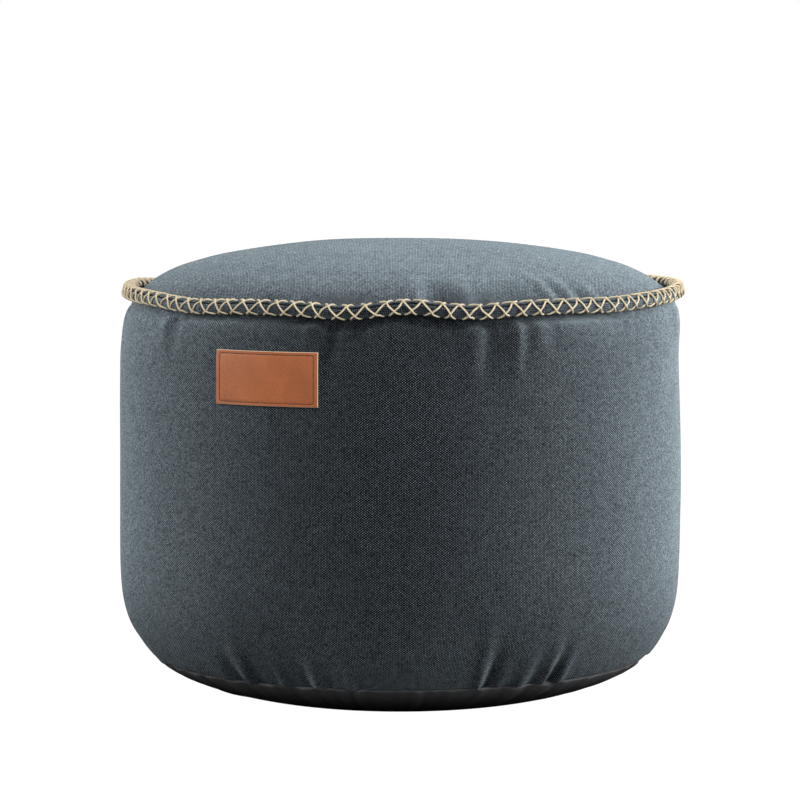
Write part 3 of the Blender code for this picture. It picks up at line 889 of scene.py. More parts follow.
def base_material():
    """The plain near-black cloth underneath, finer than the other and lit by its light yarn; its colour is
    raised as painted light and darkened towards the floor as painted shade.
    """
    cloth = bpy.context.scene.stool_cloth
    material, board, shader = new_material("base_weave", roughness=0.8, specular=0.2)
    pitch = 0.6 * cloth.weft_pitch
    weave = shared_group(board, "Plain Weave", {
        "Place": board.add("ShaderNodeUVMap", uv_map=WEAVE_UV).outputs[0],
        "Warp Pitch": pitch,
        "Weft Pitch": pitch,
        "Light Yarn": opaque([1.5 * channel for channel in cloth.base_colour]),
        "Dark Yarn": opaque(cloth.base_colour),
        "Melange": 0.3,
    })
    crease = board.add("ShaderNodeAttribute", attribute_name="crease").outputs["Fac"]
    # Painted shade darkens the base towards the floor.
    board.feed(shader.inputs["Base Color"], board.mix_colour(crease, weave["Color"], BLACK))
    raise_surface(board, shader, weave["Height"], strength=0.5, distance=0.0002)
    return material


def cord_material():
    """Waxed beige cord, with painted shade between its plies."""
    lacing = bpy.context.scene.stool_lacing
    material, board, shader = new_material("cord_fibre", roughness=0.55)
    ply = board.add("ShaderNodeAttribute", attribute_name="ply").outputs["Fac"]
    # Painted shade between the plies, from the ply share that the cord tree stores.
    shaded_between_plies = board.scaled(tuple(lacing.colour), board.math("MULTIPLY_ADD", ply, 0.3, 0.7))
    patches = mottled(board, shaded_between_plies, scale=260.0, amount=0.25)[0]
    colour, fibres = mottled(board, patches, scale=3000.0, amount=0.3)
    board.feed(shader.inputs["Base Color"], colour)
    raise_surface(board, shader, fibres, strength=0.5, distance=0.0001)
    return material


def leather_material():
    """Smooth tan leather with a fine grain, a little darker in places."""
    tag = bpy.context.scene.stool_tag
    material, board, shader = new_material("leather_face", roughness=0.5)
    patches = mottled(board, opaque(tag.leather), scale=45.0, amount=0.24)[0]
    colour, specks = mottled(board, patches, scale=900.0, amount=0.36)
    board.feed(shader.inputs["Base Color"], colour)
    board.feed(shader.inputs["Roughness"], board.math("MULTIPLY_ADD", specks, 0.3, 0.35))
    body = board.add("ShaderNodeTexCoord").outputs["Object"]
    grain = board.add("ShaderNodeTexVoronoi", {"Vector": body, "Scale": 1100.0},
                      feature="DISTANCE_TO_EDGE").outputs["Distance"]
    raise_surface(board, shader, board.math("MULTIPLY_ADD", specks, 0.5, grain),
                  strength=0.35, distance=0.0002)
    return material


def plain_material(name, colour, roughness, scale, amount):
    """A simple material with a mottled colour."""
    material, board, shader = new_material(name, roughness)
    board.feed(shader.inputs["Base Color"], mottled(board, opaque(colour), scale, amount)[0])
    return material


def finish_piece(piece, node):
    """Makes a piece ride with the stool and stand for its solid."""
    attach(piece, "root")
    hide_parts(node)


# ---------------------------------------------------------------- cloth panels

SIDE_ROWS = 64
SIDE_CROWDING = 0.6          # how much closer the rows lie at both seams
SIDE_COLUMNS = 352
FRONT_CROWDING = 0.35        # how much closer the columns lie at the front
SIDE_EDGE_LENGTHS = (0.006, 0.008, 0.012)    # from the rim seam along the cloth to each ring behind it
SIDE_SMOOTH_MARGIN = 0.05    # the lumps fade out this far from both seams
HELD_RINGS = 3               # rings at the foot that the base seam holds

# Painted shade of the woven cloth, and painted light in a few places under the rim. Places are (middle
# azimuth, degrees left clear, degrees of fading).
SHADE_IN_FOLDS = 0.55
SHADED_TROUGH = 0.003        # depth of a trough that has all of that shade
SHADE_UNDER_BULGE = 0.42
BULGE_SHADE_HEIGHT = 0.125
BULGE_SHADE_PLACE = (-4.0, 12.0, 16.0)
SHADE_UNDER_RIM = 0.40
RIM_SHADE_REACH = 0.012
RIM_SHADE_PLACE = (0.0, 19.0, 9.0)           # only within it
SHADE_AT_CROWN_EDGE = 0.22
CROWN_SHADE_REACH = 0.014
CROWN_SHADE_PLACE = (0.0, 25.0, 20.0)
# Painted light under the rim: azimuth, spread and strength.
PAINTED_LIGHT_PLACES = ((37.0, 11.0, 0.085), (-42.0, 13.0, 0.05))   # azimuth, spread and strength, under the rim
PAINTED_LIGHT_REACH = 0.028


def side_weave(azimuth, distance):
    """The side cloth's weave map: the way round and the way up, in metres of cloth."""
    repeat = 2 * bpy.context.scene.stool_cloth.warp_pitch
    girth = round(math.tau * DRUM_RADIUS / repeat) * repeat
    around = np.broadcast_to(once_round(azimuth) / 360.0 * girth, (len(distance), len(azimuth) + 1))
    up = np.broadcast_to(np.asarray(distance)[:, None], around.shape)
    return np.stack([around, up], axis=-1)


def trough_shade(folds):
    """The painted shade in the cloth's folds."""
    return SHADE_IN_FOLDS * np.clip(-folds / SHADED_TROUGH, 0.0, 1.0)


def side_shade(folds, around, up, down):
    """Painted shade on the side: in its folds, above its foot and under its rim, less in painted light."""
    beneath = (1.0 - ramp(up / BULGE_SHADE_HEIGHT)) * away_from(*BULGE_SHADE_PLACE, around)
    under_rim = np.exp(-down / RIM_SHADE_REACH) * (1.0 - away_from(*RIM_SHADE_PLACE, around))
    shade = np.maximum(trough_shade(folds), SHADE_UNDER_BULGE * beneath)
    shade = np.maximum(shade, SHADE_UNDER_RIM * under_rim)
    for middle, spread, strength in PAINTED_LIGHT_PLACES:
        painted_light = np.exp(-(down / PAINTED_LIGHT_REACH) ** 2 - (turn_between(middle, around) / spread) ** 2)
        shade = shade - strength * painted_light
    return shade


def side_surface(azimuth):
    """The side's rings of points, the length of cloth up to each, and each point's painted shade."""
    form = bpy.context.scene.stool_form
    curve, distance = respace(side_curve(), shares_dense_at_ends(SIDE_ROWS, SIDE_CROWDING))
    normal = normals_of(curve)
    around, up, down = azimuth[None, :], distance[:, None], (distance[-1] - distance)[:, None]
    folds = form.fold_depth * (fold_field(FOLDS_OVER_BASE, around, up)
                               + fold_field(FOLDS_UNDER_RIM, around, down))
    inner = ramp(up / SIDE_SMOOTH_MARGIN) * ramp(down / SIDE_SMOOTH_MARGIN)
    lumps = inner * soft_waves(around, up, seed=11, count=14, turns=(2, 11), pitch=0.16)
    beside = beside_seam(up, reach=0.012, start=0.004) + beside_seam(down, reach=0.010, start=0.004)
    puckers = beside * soft_waves(around, up, seed=12, count=10, turns=(60, 170), pitch=0.2)
    out = folds + form.lump_height * lumps + form.pucker_height * puckers
    level = (1.0 - ramp(down / RIM_WAVE_REACH)) * rim_rise(around)
    rings = polar(curve[:, 0:1] + normal[:, 0:1] * out, around,
                  curve[:, 1:2] + normal[:, 1:2] * out + level, drum_axis(curve[:, 1:2]))
    return rings, distance, side_shade(folds, around, up, down)


class STOOL_OT_side_cloth(bpy.types.Operator):
    """Make the tall band of cloth, gathered at both seams and pressed out by the filling"""

    bl_idname = "stool.side_cloth"
    bl_label = "Side Cloth"

    def execute(self, context):
        azimuth = columns_dense_in_front(SIDE_COLUMNS, FRONT_CROWDING)
        rings, distance, shade = side_surface(azimuth)
        seats = [welt_point(azimuth, angle, SEAT_DISTANCE)[None] for angle in SIDE_SEAT_ANGLES]
        edge = polar(SIDE_EDGE_RADIUS, azimuth, TOP_SEAM - EDGE_GAP, RIM_AXIS)[None]
        rings = np.concatenate([rings, *seats, edge])
        distance = np.append(distance, distance[-1] + np.array(SIDE_EDGE_LENGTHS))
        piece = ring_object("side_cloth", rings, side_weave(azimuth, distance))
        mark_painted_shade(piece, np.concatenate([shade, np.zeros((len(SIDE_EDGE_LENGTHS), SIDE_COLUMNS))]))
        number = np.repeat(np.arange(len(rings)), SIDE_COLUMNS)
        held = np.flatnonzero((number < HELD_RINGS) | (number >= SIDE_ROWS - 1))
        settle(piece, held, number)
        close(refine(piece))
        piece.data.materials.append(cloth_material("panel_weave"))
        finish_piece(piece, "side_panel")
        return {"FINISHED"}


TOP_CORE_CELLS = 76
TOP_OUTER_ROWS = 26
TOP_CORE_SHARE = 0.62        # the square core's share of the way out to the edge
TOP_EDGE_SHARES = (1.02, 1.03, 1.04)         # of the way out, for each ring behind the piping
CROWN_SMOOTH_MARGIN = 0.06   # the lumps fade out this far from the seam


class Crown:
    """The top's cloth, at azimuths and at shares of the way from its middle to its edge."""

    def __init__(self, form):
        self.form = form
        self.curve = catmull_rom(TOP_OUTLINE, OUTLINE_STEPS)
        self.lengths = lengths_along(self.curve)
        self.normal = -normals_of(self.curve)
        self.reach = self.lengths[-1]

    def folds(self, azimuth, share):
        """The height of the folds."""
        return self.form.fold_depth * fold_field(FOLDS_ON_TOP, azimuth, (1.0 - share) * self.reach)

    def lumps(self, azimuth, share):
        """Three soft waves of 0.14 to 0.19 m that cross each other, from -2 to 2."""
        east, south = flat_round(share * self.reach, azimuth).T
        return np.cos(41 * east + 0.6) * np.cos(-33 * south + 1.1) + np.cos(23 * east + 37 * south)

    def points(self, azimuth, share):
        """The cloth's points."""
        form = self.form
        distance = share * self.reach
        to_rim = self.reach - distance
        puckers = soft_waves(azimuth, to_rim, seed=21, count=10, turns=(60, 170), pitch=0.2)
        out = (self.folds(azimuth, share)
               + form.pucker_height * beside_seam(to_rim, reach=0.011, start=0.003) * puckers
               + form.lump_height * 0.5 * self.lumps(azimuth, share) * ramp(to_rim / CROWN_SMOOTH_MARGIN))
        radius, height = (np.interp(distance, self.lengths, column) for column in self.curve.T)
        lean, rise = (np.interp(distance, self.lengths, column) for column in self.normal.T)
        level = (1.0 - ramp(to_rim / RIM_WAVE_REACH)) * rim_rise(azimuth)
        return polar(radius + lean * out, azimuth, height + rise * out + level, RIM_AXIS)

    def shade(self, azimuth, share):
        """The cloth's painted shade in its folds and, away from the front, along its edge."""
        by_edge = np.exp(-(1.0 - share) * self.reach / CROWN_SHADE_REACH)
        aside = away_from(*CROWN_SHADE_PLACE, azimuth)
        return np.maximum(trough_shade(self.folds(azimuth, share)), SHADE_AT_CROWN_EDGE * aside * by_edge)


def square_to_disc(cells):
    """The azimuths and distances of a square grid's points when it is pressed into a disc of radius 1."""
    across, along = np.meshgrid(np.linspace(-1, 1, cells + 1), np.linspace(-1, 1, cells + 1))
    disc_x = (across * np.sqrt(1 - along ** 2 / 2)).ravel()
    disc_y = (along * np.sqrt(1 - across ** 2 / 2)).ravel()
    return np.degrees(np.arctan2(disc_x, -disc_y)), np.hypot(disc_x, disc_y)


def square_edge(cells):
    """The numbers of a square grid's outer points, once round it."""
    side = cells + 1
    return (list(range(cells))
            + [row * side + cells for row in range(cells)]
            + [cells * side + cells - column for column in range(cells)]
            + [(cells - row) * side for row in range(cells)])


class STOOL_OT_top_cloth(bpy.types.Operator):
    """Make the crowned round of cloth on top, puckered along the piping"""

    bl_idname = "stool.top_cloth"
    bl_label = "Top Cloth"

    def execute(self, context):
        crown = Crown(context.scene.stool_form)
        core_azimuth, core_share = square_to_disc(TOP_CORE_CELLS)
        core_share = core_share * TOP_CORE_SHARE
        last = square_edge(TOP_CORE_CELLS)
        azimuth = core_azimuth[last]
        shares = np.linspace(TOP_CORE_SHARE, 1.0, TOP_OUTER_ROWS + 1)[1:]
        rings = [crown.points(azimuth, share) for share in shares]
        rings += [welt_point(azimuth, angle, SEAT_DISTANCE) for angle in TOP_SEAT_ANGLES]
        rings.append(polar(TOP_EDGE_RADIUS, azimuth, TOP_SEAM + EDGE_GAP, RIM_AXIS))
        faces = grid_faces(TOP_CORE_CELLS, TOP_CORE_CELLS)
        for ring in range(len(rings)):
            start = len(core_azimuth) + ring * len(azimuth)
            new = list(range(start, start + len(azimuth)))
            faces += zip(last, new, new[1:] + new[:1], last[1:] + last[:1])
            last = new
        flat = [flat_round(core_share * crown.reach, core_azimuth)]
        flat += [flat_round(share * crown.reach, azimuth) for share in (*shares, *TOP_EDGE_SHARES)]
        weave = np.concatenate(flat)[np.array(faces).ravel()]
        points = np.concatenate([crown.points(core_azimuth, core_share), *rings])
        piece = mesh_object("top_cloth", points, faces, weave)
        shades = [crown.shade(azimuth, share) for share in shares]
        edge = np.zeros(len(TOP_EDGE_SHARES) * len(azimuth))
        mark_painted_shade(piece, np.concatenate([np.zeros(len(core_azimuth)), *shades, edge]))
        close(refine(piece))
        piece.data.materials.append(cloth_material("panel_weave"))
        finish_piece(piece, "top_panel")
        return {"FINISHED"}


BASE_COLUMNS = 480
BASE_ROWS = 40
BASE_PUCKERS = 2.0           # times the pucker height
BASE_SMOOTH_FLOOR = 0.04     # the puckers start this far out from the flat, and are whole as far again
BASE_SMOOTH_SEAM = 0.004
# Painted light and shade: the base grows darker towards the floor, its light being gain * (share of its
# height) ** power, kept between the least and 1.
BASE_LIGHT_GAIN = 1.5
BASE_LIGHT_POWER = 2.3
BASE_LIGHT_LEAST = 0.03


class STOOL_OT_base_cloth(bpy.types.Operator):
    """Make the plain dark cloth underneath, flat where it rests"""

    bl_idname = "stool.base_cloth"
    bl_label = "Base Cloth"

    def execute(self, context):
        azimuth = columns_dense_in_front(BASE_COLUMNS, FRONT_CROWDING)
        curve, distance = respace(catmull_rom(BASE_OUTLINE, OUTLINE_STEPS),
                                  np.linspace(0.0, 1.0, BASE_ROWS))
        normal = normals_of(curve)
        around, up = azimuth[None, :], distance[:, None]
        puckered = (ramp((up - BASE_SMOOTH_FLOOR) / BASE_SMOOTH_FLOOR)
                    * ramp((distance[-1] - up) / BASE_SMOOTH_SEAM))
        waves = soft_waves(around, up, seed=31, count=12, turns=(30, 110), pitch=0.3)
        out = context.scene.stool_form.pucker_height * BASE_PUCKERS * puckered * waves
        rings = polar(curve[:, 0:1] + normal[:, 0:1] * out, around,
                      curve[:, 1:2] + normal[:, 1:2] * out, DRUM_AXIS)
        weave = flat_round(BASE_OUTLINE[0][0] + up, once_round(azimuth))
        piece = ring_object("base_cloth", rings, weave)
        share = curve[:, 1:2] / BASE_SEAM
        light = np.clip(BASE_LIGHT_GAIN * share ** BASE_LIGHT_POWER, BASE_LIGHT_LEAST, 1.0)
        mark_painted_shade(piece, np.broadcast_to(1.0 - light, out.shape))
        close(piece)
        piece.data.materials.append(base_material())
        finish_piece(piece, "base_panel")
        return {"FINISHED"}


# ---------------------------------------------------------------- piping and lacing

# Angles round the piping, in degrees.
NOTCH_ANGLE = 42             # the fold along the piping
NOTCH_SPREAD = 5.0
SHOULDER_SPREAD = 14.0
SHOULDER_SHARE = 0.25        # the shallow shoulders' share of the notch's depth
LIP_RISE = 12.0              # the lip of the fold begins over so many degrees
LIP_END = 95.0               # and ends from here
LIP_FADE = 30.0
INNER_END = 240.0            # the inner flank goes on from the lip's end to here
# Painted shade: the dark line in the notch spreads over so many degrees.
NOTCH_SHADE_SPREAD = 9.5          # the dark line in the notch

PIPING_COLUMNS_PER_CROSS = 12
PIPING_SECTION_POINTS = 52
SECTION_CROWDING = 0.75      # how much closer the section's points lie at the notch
LIP_TICKS = 420              # of its gathers round the rim
LIP_TICK_HEIGHT = 0.00022
PIPING_UNEVENNESS = 0.00012
# Painted shade on the lip and on the inner flank.
SHADE_ON_LIP = 0.35
SHADE_INSIDE = 0.6


def cross_azimuths():
    """The azimuth of each upper cross, a little unevenly spaced as by hand."""
    lacing = bpy.context.scene.stool_lacing
    spread = random.Random(lacing.seed)
    pitch = 360.0 / lacing.crosses
    return np.array([pitch * (i + spread.uniform(-lacing.unevenness, lacing.unevenness))
                     for i in range(lacing.crosses)])


def place_azimuth(azimuths, place):
    """The azimuth of places counted in crosses, such as 3.5 for midway between two of them."""
    count = len(azimuths)
    numbers = np.arange(-2, count + 3)
    known = azimuths[numbers % count] + 360.0 * np.floor_divide(numbers, count)
    return np.interp(place, numbers, known)


# The cord's way from its hole inside, over the upper and the lower cross, to its hole under the piping,
# for a cord that falls to the right: rows of (place, angle_deg, sink, crossing). Places are counted in
# crosses from the upper cross, sink is the depth below the piping's surface, and crossing is 1 on a cross.
CORD_ROUTE = (
    (-0.48, 177, 0.0026, 0),
    (-0.42, 159, 0.0004, 0),
    (-0.32, 123, 0.0, 0),
    (-0.19, 86, 0.0, 0),
    (0.0, 57, 0.0, 1),
    (0.25, 17, 0.0, 0),
    (0.50, -22, 0.0, 1),
    (0.69, -45, 0.0, 0),
    (0.82, -69, 0.0006, 0),
    (0.89, -94, 0.0026, 0),
)
CORD_ROUTE_STEPS = 6
LIFT_OVER = 0.0011
LIFT_UNDER = -0.0004
CORD_SLACK_PLACE = 0.08      # how far a point strays along the rim, in crosses
CORD_SLACK_ANGLE = 4.0       # and round the piping, in degrees


class STOOL_OT_piping(bpy.types.Operator):
    """Make the cloth-covered piping in the rim seam, with the fold along it"""

    bl_idname = "stool.piping"
    bl_label = "Piping"

    def execute(self, context):
        cloth = context.scene.stool_cloth
        azimuths = cross_azimuths()
        count = len(azimuths) * PIPING_COLUMNS_PER_CROSS
        azimuth = place_azimuth(azimuths, np.arange(count) / PIPING_COLUMNS_PER_CROSS)
        turn = np.linspace(0.0, 1.0, PIPING_SECTION_POINTS, endpoint=False) * 2 * np.pi
        angle = np.degrees(turn - SECTION_CROWDING * np.sin(turn)) + NOTCH_ANGLE
        around, tilt = azimuth[None, :], turn_between(0.0, angle)[:, None]
        notch = np.exp(-((tilt - NOTCH_ANGLE) / NOTCH_SPREAD) ** 2)
        shoulder = np.exp(-((tilt - NOTCH_ANGLE) / SHOULDER_SPREAD) ** 2)
        depth = cloth.notch_depth * ((1.0 - SHOULDER_SHARE) * notch + SHOULDER_SHARE * shoulder)
        mean_radius = PIPING_RADIUS - depth
        lip = ramp((tilt - NOTCH_ANGLE) / LIP_RISE) * (1.0 - ramp((tilt - LIP_END) / LIP_FADE))
        ticks = soft_waves(around, 0.0 * tilt, seed=41, count=12, turns=(LIP_TICKS // 2, LIP_TICKS),
                           pitch=1.0)
        uneven = soft_waves(around, np.radians(tilt) * PIPING_RADIUS, seed=42, count=14,
                            turns=(40, 160), pitch=0.02)
        radius = mean_radius + LIP_TICK_HEIGHT * lip * ticks + PIPING_UNEVENNESS * uneven
        rings = welt_point(np.broadcast_to(around, radius.shape), tilt, radius)
        girth = once_round(azimuth) / 360.0 * math.tau * RIM_RADIUS
        outline = welt_point(0.0, angle, mean_radius[:, 0])
        wrap = lengths_along(np.vstack([outline, outline[:1]]))
        weave = np.stack(np.broadcast_arrays(girth[None, :], wrap[:, None]), axis=-1)
        piece = ring_object("piping_cloth", rings, weave, closed=True)
        # Painted shade: dark in the notch, darker on the lip and on the inner flank.
        notch_shade = np.exp(-((tilt - NOTCH_ANGLE) / NOTCH_SHADE_SPREAD) ** 2)
        inner = ramp((tilt % 360.0 - LIP_END) / LIP_FADE) * (tilt % 360.0 < INNER_END)
        shade = np.maximum(notch_shade, np.maximum(SHADE_ON_LIP * lip, SHADE_INSIDE * inner))
        mark_painted_shade(piece, np.broadcast_to(shade, radius.shape))
        piece.data.materials.append(cloth_material("piping_weave"))
        finish_piece(piece, "rim_piping")
        return {"FINISHED"}


GEOMETRY_ENDS = (("Geometry", "NodeSocketGeometry"),)


def in_material(board, given, shape):
    """Ends a geometry tree: shaded smooth, made real and in the given material."""
    smooth = board.add("GeometryNodeSetShadeSmooth", {"Geometry": shape})
    real = board.add("GeometryNodeRealizeInstances", {"Geometry": smooth.outputs[0]})
    return board.add("GeometryNodeSetMaterial", {"Geometry": real.outputs[0],
                                                 "Material": given["Material"]}).outputs[0]


def build_cord_tree():
    """A cord of three twisted plies along each spline."""
    board, given, result = new_group("Twisted Cord", "GeometryNodeTree", (
        ("Geometry", "NodeSocketGeometry", None),
        ("Cord Thickness", "NodeSocketFloat", 0.002),
        ("Twist Length", "NodeSocketFloat", 0.004),
        ("Step", "NodeSocketFloat", 0.0006),
        ("Ply Depth", "NodeSocketFloat", 0.18),
        ("Section Points", "NodeSocketInt", 12),
        ("Material", "NodeSocketMaterial", None),
    ), GEOMETRY_ENDS)
    even = board.add("GeometryNodeResampleCurve", {"Curve": given["Geometry"],
                                                   "Length": given["Step"]}, mode="LENGTH")
    reach = board.add("GeometryNodeSplineParameter").outputs["Length"]
    turns = board.math("DIVIDE", reach, given["Twist Length"])
    twisted = board.add("GeometryNodeSetCurveTilt", {"Curve": even.outputs[0],
                                                     "Tilt": board.math("MULTIPLY", turns, math.tau)})
    circle = board.add("GeometryNodeCurvePrimitiveCircle", {
        "Resolution": given["Section Points"],
        "Radius": board.math("MULTIPLY", given["Cord Thickness"], 0.5)}, mode="RADIUS")
    spot = board.add("GeometryNodeInputPosition").outputs[0]
    parts = board.add("ShaderNodeSeparateXYZ", {0: spot}).outputs
    bearing = board.math("ARCTAN2", parts["Y"], parts["X"])
    lobes = board.math("COSINE", board.math("MULTIPLY", bearing, 3.0))
    ply = board.math("MULTIPLY_ADD", lobes, 0.5, 0.5)
    inset = board.math("MULTIPLY", board.math("SUBTRACT", 1.0, ply), given["Ply Depth"])
    section = board.add("GeometryNodeSetPosition", {
        "Geometry": circle.outputs[0],
        "Position": board.scaled(spot, board.math("SUBTRACT", 1.0, inset))})
    # The ply share shapes the grooves and also feeds the cord's painted shade.
    marked = board.add("GeometryNodeStoreNamedAttribute", {"Geometry": section.outputs[0],
                                                           "Name": "ply", "Value": ply},
                       data_type="FLOAT", domain="POINT")
    skin = board.add("GeometryNodeCurveToMesh", {"Curve": twisted.outputs[0],
                                                 "Profile Curve": marked.outputs[0],
                                                 "Fill Caps": True})
    board.feed(result["Geometry"], in_material(board, given, skin.outputs[0]))
    return board.tree


def build_stitch_tree():
    """A row of stitches along each spline: short rounded lengths of thread, end to end."""
    board, given, result = new_group("Stitch Row", "GeometryNodeTree", (
        ("Geometry", "NodeSocketGeometry", None),
        ("Stitch Pitch", "NodeSocketFloat", 0.002),
        ("Stitch Length", "NodeSocketFloat", 0.0015),
        ("Thread Thickness", "NodeSocketFloat", 0.0006),
        ("Unevenness", "NodeSocketFloat", 0.12),
        ("Seed", "NodeSocketInt", 3),
        ("Material", "NodeSocketMaterial", None),
    ), GEOMETRY_ENDS)
    places = board.add("GeometryNodeResampleCurve", {"Curve": given["Geometry"],
                                                     "Length": given["Stitch Pitch"]}, mode="LENGTH")
    ball = board.add("GeometryNodeMeshUVSphere", {"Segments": 10, "Rings": 8, "Radius": 0.5})
    size = board.add("ShaderNodeCombineXYZ", {0: given["Stitch Length"], 1: given["Thread Thickness"],
                                              2: given["Thread Thickness"]})
    stitch = board.add("GeometryNodeTransform", {"Geometry": ball.outputs[0],
                                                 "Scale": size.outputs[0]})
    tangent = board.add("GeometryNodeInputTangent").outputs[0]
    along = board.add("FunctionNodeAlignRotationToVector", {"Vector": tangent}, axis="X")
    change = board.add("FunctionNodeRandomValue", {2: board.math("SUBTRACT", 1.0, given["Unevenness"]),
                                                   3: board.math("ADD", 1.0, given["Unevenness"]),
                                                   "Seed": given["Seed"]}, data_type="FLOAT")
    row = board.add("GeometryNodeInstanceOnPoints", {"Points": places.outputs[0],
                                                     "Instance": stitch.outputs[0],
                                                     "Rotation": along.outputs[0],
                                                     "Scale": change.outputs[1]})
    board.feed(result["Geometry"], in_material(board, given, row.outputs[0]))
    return board.tree


def curve_object(name, paths, closed=False):
    """A curve object with one straight-segment spline for each path of points."""
    data = bpy.data.curves.new(name, "CURVE")
    data.dimensions = "3D"
    for path in paths:
        spline = data.splines.new("POLY")
        spline.points.add(len(path) - 1)
        places = np.concatenate([path, np.ones((len(path), 1))], axis=1)
        spline.points.foreach_set("co", places.astype(np.float32).ravel())
        spline.use_cyclic_u = closed
    guide = bpy.data.objects.new(name, data)
    bpy.context.scene.collection.objects.link(guide)
    return guide


def grow(name, guide, tree, values):
    """Runs a geometry tree on a guide curve and returns its result as a plain mesh object."""
    modifier = guide.modifiers.new("Grow", "NODES")
    modifier.node_group = tree
    for item in tree.interface.items_tree:
        if item.in_out == "INPUT" and item.name in values:
            modifier[item.identifier] = values[item.name]
    guide.update_tag()
    graph = bpy.context.evaluated_depsgraph_get()
    mesh = bpy.data.meshes.new_from_object(guide.evaluated_get(graph))
    data = guide.data
    bpy.data.objects.remove(guide)
    bpy.data.curves.remove(data)
    mesh.name = name
    piece = bpy.data.objects.new(name, mesh)
    bpy.context.scene.collection.objects.link(piece)
    return piece


def cord_paths(falls_right):
    """The way of each length of cord that falls to one side, laid on the piping."""
    lacing = bpy.context.scene.stool_lacing
    azimuths = cross_azimuths()
    draw = random.Random(lacing.seed + (1 if falls_right else 2))
    paths = []
    for number in range(lacing.crosses):
        route = []
        for place, angle, sink, crossing in CORD_ROUTE:
            place = place + draw.uniform(-CORD_SLACK_PLACE, CORD_SLACK_PLACE) * (crossing == 0)
            angle = angle + draw.uniform(-CORD_SLACK_ANGLE, CORD_SLACK_ANGLE)
            raised = crossing * (LIFT_OVER if falls_right else LIFT_UNDER)
            route.append((number + (place if falls_right else -place), angle,
                          lacing.thickness * 0.5 - sink + raised))
        smooth = catmull_rom(route, CORD_ROUTE_STEPS)
        azimuth = place_azimuth(azimuths, smooth[:, 0])
        paths.append(welt_point(azimuth, smooth[:, 1], PIPING_RADIUS + smooth[:, 2]))
    return paths


class STOOL_OT_lacing(bpy.types.Operator):
    """Lace the waxed cord crosswise over the piping, one way under the other"""

    bl_idname = "stool.lacing"
    bl_label = "Lacing"

    def execute(self, context):
        lacing = context.scene.stool_lacing
        tree = build_cord_tree()
        values = {"Cord Thickness": lacing.thickness, "Twist Length": lacing.twist_length,
                  "Material": cord_material()}
        for name, falls_right in (("lacing_over", True), ("lacing_under", False)):
            guide = curve_object(name + "_guide", cord_paths(falls_right))
            piece = grow(name, guide, tree, values)
            finish_piece(piece, "rim_lacing")
        return {"FINISHED"}


# ---------------------------------------------------------------- tag

TAG_CELL = 0.0008            # size of the mesh's cells
TAG_GAP = 0.0005             # from the side's outline to the tag's back
TAG_BACK_TRIM = 0.0004       # taken off the back, which stays clear of the cloth's ridges
EDGE_DROP = 0.00025          # how far the face sinks along its cut edge
EDGE_DROP_REACH = 0.0012
EDGE_BEVEL = 0.00050
EDGE_BEVEL_FROM = math.radians(50)
DENT_DEPTH = 0.00030         # of the dent that the stitches pull into the leather
DENT_SPREAD = 0.0011
STITCH_CORNER = 0.0022
STITCH_CORNER_STEPS = 6
STITCH_RISE = 0.0001         # from the bottom of the dent to the middle of the thread
STITCH_SHARE = 0.82          # a stitch's length, as a share of its pitch
THREAD_THICKNESS = 0.00078


def tag_place(across, up, lift):
    """Points on the tag's seat, bent round the drum: metres across and up it, lifted off its back."""
    tag = bpy.context.scene.stool_tag
    middle = math.degrees(math.atan2(TAG_MIDDLE.x - DRUM_AXIS, -TAG_MIDDLE.y))
    curve = side_curve()
    height = TAG_MIDDLE.z + across * math.sin(tag.tilt) + up * math.cos(tag.tilt)
    radius = np.interp(height, curve[:, 1], curve[:, 0]) + TAG_GAP + lift
    along = across * math.cos(tag.tilt) - up * math.sin(tag.tilt)
    along = along - (drum_axis(height) - drum_axis(TAG_MIDDLE.z)) * math.cos(math.radians(middle))
    return polar(radius, middle + np.degrees(along / (radius - lift)), height, drum_axis(height))


def stitch_line():
    """The oblong that the stitches follow on the tag, with round corners, as (across, up)."""
    tag = bpy.context.scene.stool_tag
    half = np.array([tag.width / 2 - tag.end_inset, tag.height / 2 - tag.stitch_inset])
    middle = half - STITCH_CORNER
    corners = []
    for number, (right, top) in enumerate(((1, 1), (-1, 1), (-1, -1), (1, -1))):
        for step in range(STITCH_CORNER_STEPS + 1):
            angle = math.pi / 2 * (number + step / STITCH_CORNER_STEPS)
            corners.append((right * middle[0] + STITCH_CORNER * math.cos(angle),
                            top * middle[1] + STITCH_CORNER * math.sin(angle)))
    closed = np.array(corners + corners[:1])
    count = round(lengths_along(closed)[-1] / TAG_CELL)
    return respace(closed, np.arange(count) / count)[0]


def distance_to_line(points, line):
    """The distance from points to the nearest point of a closely set line."""
    nearest = np.full(len(points), np.inf)
    for spot in line:
        nearest = np.minimum(nearest, np.linalg.norm(points - spot, axis=1))
    return nearest


